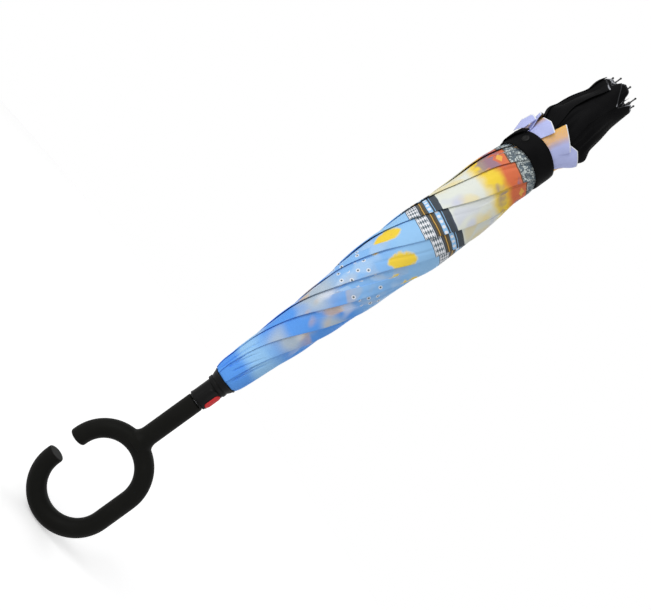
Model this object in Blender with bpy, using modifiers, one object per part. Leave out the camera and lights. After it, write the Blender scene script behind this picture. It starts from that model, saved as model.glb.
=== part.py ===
"""Reverse-folding umbrella, closed, standing on its C-shaped handle.

Metres, +Z along the shaft towards the rib tips, origin at the centre of the handle's C.
The runner slides up the shaft and carries eight ribs; stretchers from the top notch swing
them out. Each panel of the two canopy layers is a furled, helical shell.
"""
import math

import bmesh
import bpy
from mathutils import Matrix, Vector

# General clearances and facet counts
CLEARANCE = 0.0003
CUT_OVERRUN = 0.001
MERGE_DISTANCE = 0.00001
SHAFT_SIDES = 24
RUNNER_SIDES = 32
SMALL_SIDES = 8
SMOOTH_ANGLE = math.radians(35)

# Shaft
SHAFT_RADIUS = 0.005
SHAFT_WALL = 0.0008
SHAFT_FOOT_Z = 0.0805
SHAFT_TOP_Z = 0.6155
RUNNING_GAP = 0.00042

# Handle: a round bar bent to a C with straight sides, and a stub that holds the shaft
HANDLE_BAR_RADIUS = 0.0109
HANDLE_BEND_RADIUS = 0.044
HANDLE_HALF_STRAIGHT = 0.01865
HANDLE_GAP_TOP_Z = 0.0144
HANDLE_GAP_FOOT_Z = -0.0134
HANDLE_END_BEVEL = 0.0015
HANDLE_ARC_STEPS = 12
HANDLE_BAR_RESOLUTION = 6
STUB_RADIUS = 0.0112
STUB_TOP_Z = 0.143
STUB_EDGE = 0.0007
STUB_ROOT_FLARE = 0.0033
STUB_ROOT_HEIGHT = 0.010
STUB_ROOT_STEPS = 4

# Pin through the shaft's foot, buried in the stub
SHAFT_PIN_RADIUS = 0.0015
SHAFT_PIN_HALF_LENGTH = 0.0082
SHAFT_PIN_Z = 0.118

# Rib hub: the runner's inner tube, with a slotted flange and a groove for the wire
CORE_RADIUS = 0.0082
CORE_FOOT_Z = 0.1465
HUB_RADIUS = 0.0134
HUB_FOOT_Z = 0.1837
HUB_TOP_Z = 0.1918
HUB_BOSS_RISE = 0.0022
RIB_PIVOT_RADIUS = 0.012
RIB_PIVOT_Z = 0.188
WIRE_RADIUS = 0.0005
WIRE_STEPS = 36
WIRE_GROOVE_HALF = 0.0009
WIRE_GROOVE_FLOOR_RADIUS = 0.0112
HUB_SLOT_FLOOR_RADIUS = 0.0094
HUB_SLOT_FLOOR_Z = 0.1850

# Runner sleeve, the outer moulding below the collar, with a shroud round the button
SLEEVE_RADIUS = 0.0119
SLEEVE_FOOT_Z = 0.1448
SLEEVE_TOP_Z = 0.1700
SLEEVE_RIM_RISE = 0.00045
SLEEVE_RIM_HEIGHT = 0.0016
SLEEVE_EDGE = 0.0004
SHROUD_RISE = 0.0011
SHROUD_HALF_WIDTH = 0.0115
SHROUD_FOOT_Z = 0.1472
SHROUD_TOP_Z = 0.1697
SHROUD_CORNER = 0.0052
CORNER_STEPS = 4

# Runner collar: a shoulder ring, then a flare with a lip under the canopy
COLLAR_FOOT_Z = 0.1703
COLLAR_TOP_Z = 0.1834
SHOULDER_RADIUS = 0.0139
SHOULDER_HEIGHT = 0.0038
SHOULDER_EDGE = 0.0005
WAIST_RADIUS = 0.0133
LIP_RADIUS = 0.0165
LIP_HEIGHT = 0.0013
FLARE_STEPS = 5

# Release button and its spring, turned from +X towards -Y
BUTTON_TURN = math.radians(-30)
BUTTON_HALF_WIDTH = 0.0042
BUTTON_FOOT_Z = 0.1485
BUTTON_TOP_Z = 0.1682
BUTTON_INNER_X = 0.0112
BUTTON_OUTER_X = 0.0135
BUTTON_CROWN = 0.0009
BUTTON_GAP = 0.0004
FINGER_HALF_WIDTH = 0.0014
FINGER_TIP_X = 0.0080
FINGER_GAP = 0.0004
SPRING_COIL_RADIUS = 0.0027
SPRING_WIRE_RADIUS = 0.00025
SPRING_TURNS = 2
SPRING_STEPS_PER_TURN = 10

# Ribs
RIB_COUNT = 8
RIB_FIRST_ANGLE = 0.0
RIB_SPLAY = math.radians(0.75)
RIB_LENGTH = 0.5345
RIB_JOINT_AT = 0.200
RIB_EYE_RADIUS = 0.0022
RIB_EYE_HOLE_RADIUS = 0.0008
CHANNEL_WIDTH = 0.0024
CHANNEL_DEPTH = 0.0032
CHANNEL_WALL = 0.0005
CHANNEL_WEB = 0.0007
CHANNEL_GROOVE_START = 0.006
CHANNEL_PAST_JOINT = 0.004
ROD_RADIUS = 0.0011
SOCKET_GAP = 0.00038
SOCKET_WALL = 0.0004
SOCKET_LENGTH = 0.008
JOINT_PIN_RADIUS = 0.0008
JOINT_PIN_HEAD_RADIUS = 0.0015
JOINT_PIN_HEAD_LENGTH = 0.0005
TIP_WALL = 0.00035
TIP_SLEEVE_LENGTH = 0.011
TIP_NECK_RADIUS = 0.0008
TIP_NECK_LENGTH = 0.0060
TIP_BALL_RADIUS = 0.0012
TIP_CONE_LENGTH = 0.0020

# Stretchers and the top notch
STRETCHER_THICKNESS = 0.0012
STRETCHER_WIDTH = 0.0026
STRETCHER_EYE_RADIUS = 0.0021
STRETCHER_END_RADIUS = 0.0015
STRETCHER_HOLE_GAP = 0.00035
STRETCHER_SIDE_GAP = 0.0003
NOTCH_PIVOT_RADIUS = 0.008
NOTCH_PIVOT_Z = 0.611
NOTCH_RADIUS = 0.0103
NOTCH_FOOT_Z = 0.6045
NOTCH_TOP_Z = 0.6152
NOTCH_BOSS_RADIUS = 0.0062
NOTCH_BOSS_HEIGHT = 0.006
NOTCH_SLOT_FLOOR_RADIUS = 0.0062
NOTCH_SLOT_GAP = 0.0004
CAP_RADIUS = 0.0088
CAP_HEIGHT = 0.0075
CAP_FLAT = 0.0016
CAP_PLUG_LENGTH = 0.012
CAP_STEPS = 4

# Canopy panels. A panel's furled section runs from its inner edge, under the panel before
# it, to its fold edge, which lies on top of the panel after it.
PANEL_SPAN = math.radians(52.5)
PANEL_SEGMENTS = 5
PRINT_FOOT_Z = 0.184
PRINT_HEM_Z = 0.652
PRINT_HEM_SLANT = 0.020
FURL_RADIUS = 0.0358
PRINT_THICKNESS = 0.0009
FOLD_TANGENT = 0.405
FOLD_EASE_LENGTH = 0.110
PRINT_PROFILE_SHARES = (
    (0.000, 0.475), (0.013, 0.522), (0.043, 0.564), (0.081, 0.601), (0.137, 0.637),
    (0.192, 0.676), (0.248, 0.715), (0.306, 0.771), (0.361, 0.844), (0.419, 0.888),
    (0.483, 0.933), (0.549, 0.983), (0.624, 0.966), (0.699, 0.930), (0.774, 0.902),
    (0.829, 0.855), (0.855, 0.827), (0.915, 0.827), (0.936, 0.922), (0.957, 0.989),
    (0.979, 0.994), (1.000, 0.961),
)
PRINT_FOLD_HEIGHT = 0.0039
PRINT_FOLD_SHARES = (
    (0.000, 0.375), (0.450, 1.000), (0.774, 0.850), (0.855, 0.460), (0.915, 0.460),
    (0.957, 0.800), (1.000, 0.800),
)
PRINT_FLARE_SHARE = 0.915

LINING_FOOT_Z = 0.600
LINING_HEM_DROP = 0.0080
LINING_HEM_Z = RIB_PIVOT_Z + RIB_LENGTH - LINING_HEM_DROP
LINING_SCALLOP = 0.009
LINING_RADIUS = 0.0308
LINING_THICKNESS = 0.0008
LINING_FOLD_HEIGHT = 0.0015
LINING_FOLD_TANGENT = 0.12
LINING_SCALLOP_SHARE = 0.66
LINING_PROFILE_SHARES = (
    (0.000, 0.850), (0.200, 0.885), (0.330, 0.905), (0.430, 0.922), (0.510, 0.990),
    (0.570, 0.990), (0.660, 0.900), (0.780, 0.825), (0.900, 0.790), (1.000, 0.770),
)

# Tie strap: a band round the furled canopy, with its bunched end
STRAP_FOOT_Z = 0.5855
STRAP_WIDTH = 0.0265
STRAP_INNER_RADIUS = 0.0302
STRAP_THICKNESS = 0.0010
STRAP_SIDES = 40
STRAP_TAB_LENGTH = 0.024
STRAP_TAB_WIDTH = 0.009
STRAP_TAB_THICKNESS = 0.0028
STRAP_TAB_SINK = 0.0006
STRAP_TAB_ANGLE = math.radians(205)
STRAP_TAB_TILT = math.radians(35)

# Colours: red, green, blue, roughness, metallic
HANDLE_BLACK = (0.010, 0.010, 0.009, 0.62, 0.0)
RUNNER_BLACK = (0.013, 0.013, 0.012, 0.42, 0.0)
BUTTON_RED = (0.61, 0.034, 0.040, 0.38, 0.0)
STEEL = (0.55, 0.56, 0.58, 0.30, 1.0)
BLACK_STEEL = (0.030, 0.030, 0.032, 0.35, 0.9)
ROD_BLACK = (0.020, 0.020, 0.020, 0.45, 0.0)
PRINT_BLUE = (0.14, 0.40, 0.86, 0.60, 0.0)
LINING_BLACK = (0.008, 0.008, 0.009, 0.70, 0.0)


def clear_scene():
    """Removes what the scene holds."""
    for obj in list(bpy.data.objects):
        bpy.data.objects.remove(obj, do_unlink=True)


def new_collection(name):
    """Makes a collection in the scene."""
    collection = bpy.data.collections.new(name)
    bpy.context.scene.collection.children.link(collection)
    return collection


clear_scene()
PARTS = new_collection("umbrella")
CUTTERS = new_collection("umbrella_cutters")


def material(name, look):
    """A plain material from red, green, blue, roughness and metallic."""
    red, green, blue, roughness, metallic = look
    made = bpy.data.materials.new(name)
    made.use_nodes = True
    shader = made.node_tree.nodes["Principled BSDF"]
    shader.inputs["Base Color"].default_value = (red, green, blue, 1.0)
    shader.inputs["Roughness"].default_value = roughness
    shader.inputs["Metallic"].default_value = metallic
    made.diffuse_color = (red, green, blue, 1.0)
    return made


def smooth(mesh):
    """Smooth shading with sharp edges kept."""
    mesh.shade_smooth()
    mesh.set_sharp_from_angle(angle=SMOOTH_ANGLE)


def guide(obj):
    """Marks a shape that only cuts or joins another."""
    for owner in list(obj.users_collection):
        owner.objects.unlink(obj)
    CUTTERS.objects.link(obj)
    obj.hide_render = True
    obj.display_type = "WIRE"
    return obj


def place(name, mesh, look, matrix=None):
    """Puts a finished mesh in the part as an object with a material of its own."""
    obj = bpy.data.objects.new(name, mesh)
    PARTS.objects.link(obj)
    obj.data.materials.clear()
    obj.data.materials.append(material(name, look))
    if matrix is not None:
        obj.matrix_world = matrix
    return obj


def baked(obj, matrix=None):
    """The mesh that an object's modifiers make; the object itself is removed."""
    bpy.context.view_layer.update()
    graph = bpy.context.evaluated_depsgraph_get()
    mesh = bpy.data.meshes.new_from_object(obj.evaluated_get(graph))
    mesh.transform(obj.matrix_world if matrix is None else matrix @ obj.matrix_world)
    bm = bmesh.new()
    bm.from_mesh(mesh)
    bmesh.ops.remove_doubles(bm, verts=bm.verts, dist=MERGE_DISTANCE)
    bm.to_mesh(mesh)
    bm.free()
    bpy.data.objects.remove(obj, do_unlink=True)
    smooth(mesh)
    return mesh


def scratch(name, data):
    """An object that is still being worked on."""
    obj = bpy.data.objects.new(name, data)
    CUTTERS.objects.link(obj)
    return obj


def turned(name, outline, sides):
    """A turned mesh: an outline of radius and height, top to bottom on its outer side."""
    mesh = bpy.data.meshes.new(name)
    points = [(radius, 0.0, height) for radius, height in outline]
    closed = outline[0][0] > 0.0
    edges = [(k, k + 1) for k in range(len(points) - 1)]
    if closed:
        edges.append((len(points) - 1, 0))
    mesh.from_pydata(points, edges, [])
    obj = scratch(name, mesh)
    screw = obj.modifiers.new("turn", "SCREW")
    screw.axis = "Z"
    screw.angle = math.tau
    screw.steps = sides
    screw.render_steps = sides
    screw.use_merge_vertices = True
    screw.merge_threshold = MERGE_DISTANCE
    return baked(obj)


def ring_outline(inner, outer, foot, top):
    """The outline of a plain tube."""
    return [(outer, top), (outer, foot), (inner, foot), (inner, top)]


def cylinder(name, radius, start, end, sides):
    """A solid cylinder between two points."""
    start, end = Vector(start), Vector(end)
    turn = (end - start).to_track_quat("Z", "Y").to_matrix().to_4x4()
    bm = bmesh.new()
    bmesh.ops.create_cone(bm, cap_ends=True, segments=sides, radius1=radius,
                          radius2=radius, depth=(end - start).length,
                          matrix=Matrix.Translation((start + end) / 2) @ turn)
    mesh = bpy.data.meshes.new(name)
    bm.to_mesh(mesh)
    bm.free()
    smooth(mesh)
    return mesh


def block(name, low, high):
    """A box between two corners."""
    low, high = Vector(low), Vector(high)
    bm = bmesh.new()
    size = Matrix.Diagonal((*(high - low), 1.0))
    bmesh.ops.create_cube(bm, size=1.0, matrix=Matrix.Translation((low + high) / 2) @ size)
    mesh = bpy.data.meshes.new(name)
    bm.to_mesh(mesh)
    bm.free()
    return mesh


def plate(name, outlines, low, high, upright):
    """Flat outlines (the first one outer, the rest holes) made a plate from low to high.

    The outlines' two values go to the axes that upright says: "XZ" or "YZ"."""
    curve = bpy.data.curves.new(name, "CURVE")
    curve.dimensions = "2D"
    curve.fill_mode = "BOTH"
    curve.extrude = (high - low) / 2
    for outline in outlines:
        spline = curve.splines.new("POLY")
        spline.points.add(len(outline) - 1)
        for point, (across, along) in zip(spline.points, outline):
            point.co = (across, along, 0.0, 1.0)
        spline.use_cyclic_u = True
    middle = (low + high) / 2
    if upright == "XZ":
        turn = Matrix(((1, 0, 0, 0), (0, 0, -1, middle), (0, 1, 0, 0), (0, 0, 0, 1)))
    else:
        turn = Matrix(((0, 0, 1, middle), (1, 0, 0, 0), (0, 1, 0, 0), (0, 0, 0, 1)))
    return baked(scratch(name, curve), turn)


def arc(centre, radius, start, end, steps):
    """Points of an arc in a plane, ends included."""
    return [
        (centre[0] + radius * math.cos(start + (end - start) * k / steps),
         centre[1] + radius * math.sin(start + (end - start) * k / steps))
        for k in range(steps + 1)
    ]


def circle(centre, radius, steps):
    """Points of a full circle."""
    return arc(centre, radius, 0.0, math.tau, steps)[:-1]


def boolean(obj, mesh, operation):
    """Cuts or joins an object with a mesh, by a live modifier."""
    other = guide(scratch(f"{obj.name}_{operation.lower()}_{len(obj.modifiers)}", mesh))
    step = obj.modifiers.new(operation.lower(), "BOOLEAN")
    step.operation = operation
    step.solver = "EXACT"
    step.object = other
    return other


def bevel(obj, width, segments, angle):
    """Rounds the edges that turn more than an angle."""
    step = obj.modifiers.new("bevel", "BEVEL")
    step.width = width
    step.segments = segments
    step.limit_method = "ANGLE"
    step.angle_limit = angle


def tube(name, points, radius, resolution, cyclic=False):
    """A round bar along points, with filled ends, as a welded mesh."""
    curve = bpy.data.curves.new(name, "CURVE")
    curve.dimensions = "3D"
    curve.bevel_depth = radius
    curve.bevel_resolution = resolution
    curve.use_fill_caps = not cyclic
    spline = curve.splines.new("POLY")
    spline.points.add(len(points) - 1)
    for point, place_at in zip(spline.points, points):
        point.co = (*place_at, 1.0)
    spline.use_cyclic_u = cyclic
    return baked(scratch(name, curve))


def rib_angle(index):
    """A rib's direction round the shaft."""
    return RIB_FIRST_ANGLE + index * math.tau / RIB_COUNT


def handle_path():
    """The centre line of the handle's C, from its upper mouth round to its lower mouth."""
    up, down = HANDLE_HALF_STRAIGHT, -HANDLE_HALF_STRAIGHT
    side = HANDLE_BEND_RADIUS
    top = arc((0.0, up), side, math.pi, 0.0, HANDLE_ARC_STEPS)
    foot = arc((0.0, down), side, 0.0, -math.pi, HANDLE_ARC_STEPS)
    flat = [(-side, HANDLE_GAP_TOP_Z)] + top + foot + [(-side, HANDLE_GAP_FOOT_Z)]
    return [(x, 0.0, z) for x, z in flat]


def stub_mesh():
    """The handle's stub, flared along X where it meets the C."""
    root_top = HANDLE_HALF_STRAIGHT + HANDLE_BEND_RADIUS + HANDLE_BAR_RADIUS
    root_top += STUB_ROOT_HEIGHT / 3
    root_foot = root_top - STUB_ROOT_HEIGHT
    outline = [(0.0, STUB_TOP_Z), (STUB_RADIUS - STUB_EDGE, STUB_TOP_Z),
               (STUB_RADIUS, STUB_TOP_Z - STUB_EDGE)]
    for k in range(STUB_ROOT_STEPS + 1):
        outline.append((STUB_RADIUS, root_top - STUB_ROOT_HEIGHT * k / STUB_ROOT_STEPS))
    outline.append((0.0, root_foot))
    mesh = turned("stub", outline, SHAFT_SIDES)
    for vertex in mesh.vertices:
        fall = max(0.0, (root_top - vertex.co.z) / STUB_ROOT_HEIGHT)
        vertex.co.x *= 1.0 + STUB_ROOT_FLARE / STUB_RADIUS * fall * fall
    return mesh


def make_handle():
    """The C-shaped handle with its stub, the shaft's bore and the pin's pocket."""
    bar = tube("handle_bar", handle_path(), HANDLE_BAR_RADIUS, HANDLE_BAR_RESOLUTION)
    handle = place("c_handle", bar, HANDLE_BLACK)
    bevel(handle, HANDLE_END_BEVEL, 2, math.radians(60))
    boolean(handle, stub_mesh(), "UNION")
    bore = cylinder("bore", SHAFT_RADIUS + RUNNING_GAP, (0, 0, SHAFT_FOOT_Z - CLEARANCE),
                    (0, 0, STUB_TOP_Z + CUT_OVERRUN), SHAFT_SIDES)
    boolean(handle, bore, "DIFFERENCE")
    reach = SHAFT_PIN_HALF_LENGTH + CLEARANCE
    pocket = cylinder("pocket", SHAFT_PIN_RADIUS + CLEARANCE, (0, -reach, SHAFT_PIN_Z),
                      (0, reach, SHAFT_PIN_Z), SHAFT_SIDES // 2)
    boolean(handle, pocket, "DIFFERENCE")


def make_shaft():
    """The shaft tube and the pin that holds the handle on it."""
    inner = SHAFT_RADIUS - SHAFT_WALL
    outline = ring_outline(inner, SHAFT_RADIUS, SHAFT_FOOT_Z, SHAFT_TOP_Z)
    shaft = place("shaft_tube", turned("shaft", outline, SHAFT_SIDES), BLACK_STEEL)
    reach = SHAFT_RADIUS + CUT_OVERRUN
    hole = cylinder("hole", SHAFT_PIN_RADIUS + CLEARANCE, (0, -reach, SHAFT_PIN_Z),
                    (0, reach, SHAFT_PIN_Z), SHAFT_SIDES // 2)
    boolean(shaft, hole, "DIFFERENCE")
    pin = cylinder("pin", SHAFT_PIN_RADIUS, (0, -SHAFT_PIN_HALF_LENGTH, SHAFT_PIN_Z),
                   (0, SHAFT_PIN_HALF_LENGTH, SHAFT_PIN_Z), SHAFT_SIDES // 2)
    place("shaft_pin", pin, STEEL)


def radial_slots(obj, low, high):
    """Cuts one box-shaped slot for each rib, given for the first direction (+X)."""
    bm = bmesh.new()
    size = Matrix.Diagonal((*(Vector(high) - Vector(low)), 1.0))
    middle = Matrix.Translation((Vector(low) + Vector(high)) / 2)
    for index in range(RIB_COUNT):
        turn = Matrix.Rotation(rib_angle(index), 4, "Z")
        bmesh.ops.create_cube(bm, size=1.0, matrix=turn @ middle @ size)
    mesh = bpy.data.meshes.new("slots")
    bm.to_mesh(mesh)
    bm.free()
    boolean(obj, mesh, "DIFFERENCE")


def make_hub():
    """The runner's core with the slotted, grooved flange that carries the ribs."""
    bore = SHAFT_RADIUS + RUNNING_GAP
    boss_top = HUB_TOP_Z + HUB_BOSS_RISE
    groove_top = RIB_PIVOT_Z + WIRE_GROOVE_HALF
    groove_foot = RIB_PIVOT_Z - WIRE_GROOVE_HALF
    outline = [
        (CORE_RADIUS, boss_top), (CORE_RADIUS, HUB_TOP_Z),
        (HUB_RADIUS, HUB_TOP_Z), (HUB_RADIUS, groove_top),
        (WIRE_GROOVE_FLOOR_RADIUS, groove_top), (WIRE_GROOVE_FLOOR_RADIUS, groove_foot),
        (HUB_RADIUS, groove_foot), (HUB_RADIUS, HUB_FOOT_Z),
        (CORE_RADIUS, HUB_FOOT_Z), (CORE_RADIUS, CORE_FOOT_Z),
        (bore, CORE_FOOT_Z), (bore, boss_top),
    ]
    hub = place("rib_hub", turned("hub", outline, SHAFT_SIDES), RUNNER_BLACK)
    half = CHANNEL_WIDTH / 2 + CLEARANCE
    radial_slots(hub, (HUB_SLOT_FLOOR_RADIUS, -half, HUB_SLOT_FLOOR_Z),
                 (HUB_RADIUS + CUT_OVERRUN, half, HUB_TOP_Z + CUT_OVERRUN))
    middle = button_middle_z()
    wide = FINGER_HALF_WIDTH + FINGER_GAP
    finger_hole = block("finger_hole", (0.0, -wide, middle - wide),
                        (CORE_RADIUS + CUT_OVERRUN, wide, middle + wide))
    finger_hole.transform(button_turn())
    boolean(hub, finger_hole, "DIFFERENCE")


def make_wire():
    """The wire ring on which the eight ribs hinge."""
    points = [(x, y, RIB_PIVOT_Z) for x, y in circle((0, 0), RIB_PIVOT_RADIUS, WIRE_STEPS)]
    place("runner_wire", tube("wire", points, WIRE_RADIUS, 1, cyclic=True), STEEL)


def button_middle_z():
    """The height of the button's middle."""
    return (BUTTON_FOOT_Z + BUTTON_TOP_Z) / 2


def button_turn():
    """Turns what is made for a button on +X to the button's own side of the shaft."""
    return Matrix.Rotation(BUTTON_TURN, 4, "Z")


def stadium(half_width, foot, top, steps):
    """An upright slot shape with round ends."""
    upper = arc((0.0, top - half_width), half_width, 0.0, math.pi, steps)
    lower = arc((0.0, foot + half_width), half_width, math.pi, math.tau, steps)
    return upper + lower


def shroud_mesh():
    """The raised skin round the button: a ring trimmed to a tombstone outline."""
    outer = SLEEVE_RADIUS + SHROUD_RISE
    inner = (SLEEVE_RADIUS + CORE_RADIUS) / 2
    ring = scratch("shroud_ring", turned(
        "shroud", ring_outline(inner, outer, SHROUD_FOOT_Z, SHROUD_TOP_Z), RUNNER_SIDES))
    half, corner = SHROUD_HALF_WIDTH, SHROUD_CORNER
    outline = [(-half, SHROUD_FOOT_Z - CUT_OVERRUN), (half, SHROUD_FOOT_Z - CUT_OVERRUN)]
    outline += arc((half - corner, SHROUD_TOP_Z - corner - CUT_OVERRUN / 4), corner,
                   0.0, math.pi / 2, CORNER_STEPS)
    outline += arc((corner - half, SHROUD_TOP_Z - corner - CUT_OVERRUN / 4), corner,
                   math.pi / 2, math.pi, CORNER_STEPS)
    trim = plate("shroud_trim", [outline], 0.0, outer + CUT_OVERRUN, "YZ")
    boolean(ring, trim, "INTERSECT")
    return baked(ring)


def make_sleeve():
    """The runner's outer sleeve with its foot rim, shroud and button slot."""
    inner = CORE_RADIUS + RUNNING_GAP
    rim = SLEEVE_RADIUS + SLEEVE_RIM_RISE
    rim_top = SLEEVE_FOOT_Z + SLEEVE_RIM_HEIGHT
    outline = [
        (SLEEVE_RADIUS - SLEEVE_EDGE, SLEEVE_TOP_Z),
        (SLEEVE_RADIUS, SLEEVE_TOP_Z - SLEEVE_EDGE),
        (SLEEVE_RADIUS, rim_top + SLEEVE_EDGE), (rim, rim_top),
        (rim, SLEEVE_FOOT_Z + SLEEVE_EDGE), (rim - SLEEVE_EDGE, SLEEVE_FOOT_Z),
        (inner, SLEEVE_FOOT_Z), (inner, SLEEVE_TOP_Z),
    ]
    turn = button_turn()
    body = turned("sleeve", outline, RUNNER_SIDES)
    sleeve = place("runner_sleeve", body, RUNNER_BLACK, turn)
    shroud = shroud_mesh()
    shroud.transform(turn)
    boolean(sleeve, shroud, "UNION")
    slot = stadium(BUTTON_HALF_WIDTH + BUTTON_GAP, BUTTON_FOOT_Z - BUTTON_GAP,
                   BUTTON_TOP_Z + BUTTON_GAP, CORNER_STEPS * 2)
    reach = SLEEVE_RADIUS + SHROUD_RISE + CUT_OVERRUN
    cut = plate("button_slot", [slot], 0.0, reach, "YZ")
    cut.transform(turn)
    boolean(sleeve, cut, "DIFFERENCE")


def make_collar():
    """The shoulder ring and the flare up to the canopy."""
    inner = CORE_RADIUS + RUNNING_GAP
    lip_foot = COLLAR_TOP_Z - LIP_HEIGHT
    shoulder_top = COLLAR_FOOT_Z + SHOULDER_HEIGHT
    outline = [(inner, COLLAR_TOP_Z), (LIP_RADIUS - SHOULDER_EDGE, COLLAR_TOP_Z),
               (LIP_RADIUS, COLLAR_TOP_Z - SHOULDER_EDGE)]
    for k in range(FLARE_STEPS + 1):
        share = k / FLARE_STEPS
        outline.append((LIP_RADIUS - (LIP_RADIUS - WAIST_RADIUS) * math.sin(share * math.pi / 2),
                        lip_foot - (lip_foot - shoulder_top) * share))
    outline += [
        (SHOULDER_RADIUS, shoulder_top - SHOULDER_EDGE),
        (SHOULDER_RADIUS, COLLAR_FOOT_Z + SHOULDER_EDGE),
        (SHOULDER_RADIUS - SHOULDER_EDGE, COLLAR_FOOT_Z), (inner, COLLAR_FOOT_Z),
    ]
    place("runner_collar", turned("collar", outline, RUNNER_SIDES), RUNNER_BLACK)


def make_button():
    """The release button with its latch finger, and the spring behind it."""
    middle = button_middle_z()
    outline = stadium(BUTTON_HALF_WIDTH, BUTTON_FOOT_Z, BUTTON_TOP_Z, CORNER_STEPS * 2)
    body = plate("button_body", [outline], BUTTON_INNER_X, BUTTON_OUTER_X, "YZ")
    turn = button_turn()
    button = place("release_button", body, BUTTON_RED, turn)
    bevel(button, BUTTON_CROWN, 2, math.radians(60))
    wide = FINGER_HALF_WIDTH
    finger = block("finger", (FINGER_TIP_X, -wide, middle - wide),
                   ((BUTTON_INNER_X + BUTTON_OUTER_X) / 2, wide, middle + wide))
    finger.transform(turn)
    boolean(button, finger, "UNION")
    start = CORE_RADIUS + CLEARANCE + SPRING_WIRE_RADIUS
    end = BUTTON_INNER_X - CLEARANCE - SPRING_WIRE_RADIUS
    steps = SPRING_TURNS * SPRING_STEPS_PER_TURN
    coil = []
    for k in range(steps + 1):
        round_coil = math.tau * k / SPRING_STEPS_PER_TURN
        coil.append((start + (end - start) * k / steps, SPRING_COIL_RADIUS * math.cos(round_coil),
                     middle + SPRING_COIL_RADIUS * math.sin(round_coil)))
    gap = (end - start) / SPRING_TURNS - 2 * SPRING_WIRE_RADIUS
    print(f"least gap between the button spring's turns: {gap * 1000:.2f} mm")
    place("button_spring", tube("coil", coil, SPRING_WIRE_RADIUS, 1), STEEL, turn)


def stretcher_side():
    """How far a stretcher's near face lies beside its rib's middle plane."""
    return ROD_RADIUS + SOCKET_GAP + SOCKET_WALL + STRETCHER_SIDE_GAP


def joint_pin_mesh():
    """The pin on a rib's side that the stretcher turns on, with its shoulder and head."""
    root = CHANNEL_WIDTH / 2 - CHANNEL_WALL
    shoulder = stretcher_side() - STRETCHER_SIDE_GAP
    head = stretcher_side() + STRETCHER_THICKNESS + STRETCHER_SIDE_GAP
    outline = [
        (0.0, head + JOINT_PIN_HEAD_LENGTH),
        (JOINT_PIN_HEAD_RADIUS, head + JOINT_PIN_HEAD_LENGTH), (JOINT_PIN_HEAD_RADIUS, head),
        (JOINT_PIN_RADIUS, head), (JOINT_PIN_RADIUS, shoulder),
        (JOINT_PIN_HEAD_RADIUS, shoulder), (JOINT_PIN_HEAD_RADIUS, root), (0.0, root),
    ]
    mesh = turned("joint_pin", outline, SMALL_SIDES)
    mesh.transform(Matrix.Translation((0, 0, RIB_JOINT_AT)) @ Matrix.Rotation(-math.pi / 2, 4, "X"))
    return mesh


def rib_channel_mesh():
    """A rib's inner length: eye, U-shaped channel, joint pin and the rod's socket."""
    half = CHANNEL_DEPTH / 2
    end = RIB_JOINT_AT + CHANNEL_PAST_JOINT
    turn = math.asin(half / RIB_EYE_RADIUS)
    outline = arc((0, 0), RIB_EYE_RADIUS, math.pi / 2 + turn, math.pi * 5 / 2 - turn, 10)
    outline += [(half, end), (-half, end)]
    hole = circle((0, 0), RIB_EYE_HOLE_RADIUS, SMALL_SIDES)
    bar = plate("rib_bar", [outline, hole], -CHANNEL_WIDTH / 2, CHANNEL_WIDTH / 2, "XZ")
    rib = scratch("rib_blank", bar)
    inside = CHANNEL_WIDTH / 2 - CHANNEL_WALL
    groove = block("groove", (CHANNEL_WEB - half, -inside, CHANNEL_GROOVE_START),
                   (half + CUT_OVERRUN, inside, RIB_JOINT_AT - CHANNEL_DEPTH))
    boolean(rib, groove, "DIFFERENCE")
    bore = ROD_RADIUS + SOCKET_GAP
    socket = cylinder("socket", bore + SOCKET_WALL, (0, 0, end - CHANNEL_DEPTH),
                      (0, 0, end + SOCKET_LENGTH), SMALL_SIDES)
    boolean(rib, socket, "UNION")
    drill = cylinder("drill", bore, (0, 0, end + CLEARANCE),
                     (0, 0, end + SOCKET_LENGTH + CUT_OVERRUN), SMALL_SIDES)
    boolean(rib, drill, "DIFFERENCE")
    boolean(rib, joint_pin_mesh(), "UNION")
    return baked(rib)


def rod_start():
    """Where a rib's rod begins, measured from the rib's hinge."""
    return RIB_JOINT_AT + CHANNEL_PAST_JOINT + 2 * CLEARANCE


def tip_start():
    """Where a rib tip's neck begins, at the rod's outer end."""
    return RIB_LENGTH - TIP_BALL_RADIUS - TIP_NECK_LENGTH - TIP_CONE_LENGTH


def rib_rod_mesh():
    """A rib's outer length, a thin round rod."""
    return cylinder("rib_rod", ROD_RADIUS, (0, 0, rod_start()),
                    (0, 0, tip_start() - CLEARANCE), SMALL_SIDES)


def rib_tip_mesh():
    """A rib tip: a sleeve over the rod's end, a neck and a ball."""
    bore = ROD_RADIUS + SOCKET_GAP
    sleeve = bore + TIP_WALL
    foot = tip_start() - TIP_SLEEVE_LENGTH
    neck_foot = tip_start() + TIP_CONE_LENGTH
    ball = RIB_LENGTH - TIP_BALL_RADIUS
    outline = [(0.0, RIB_LENGTH)]
    outline += [(TIP_BALL_RADIUS * math.sin(math.radians(a)),
                 ball + TIP_BALL_RADIUS * math.cos(math.radians(a))) for a in (45, 90)]
    outline += [
        (TIP_NECK_RADIUS, ball - TIP_BALL_RADIUS), (TIP_NECK_RADIUS, neck_foot),
        (sleeve, tip_start()), (sleeve, foot), (bore, foot), (bore, tip_start()),
        (0.0, tip_start()),
    ]
    return turned("rib_tip", outline, SMALL_SIDES)


def joint_place():
    """The rib joint in the plane of radius and height."""
    return (RIB_PIVOT_RADIUS + RIB_JOINT_AT * math.sin(RIB_SPLAY),
            RIB_PIVOT_Z + RIB_JOINT_AT * math.cos(RIB_SPLAY))


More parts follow.
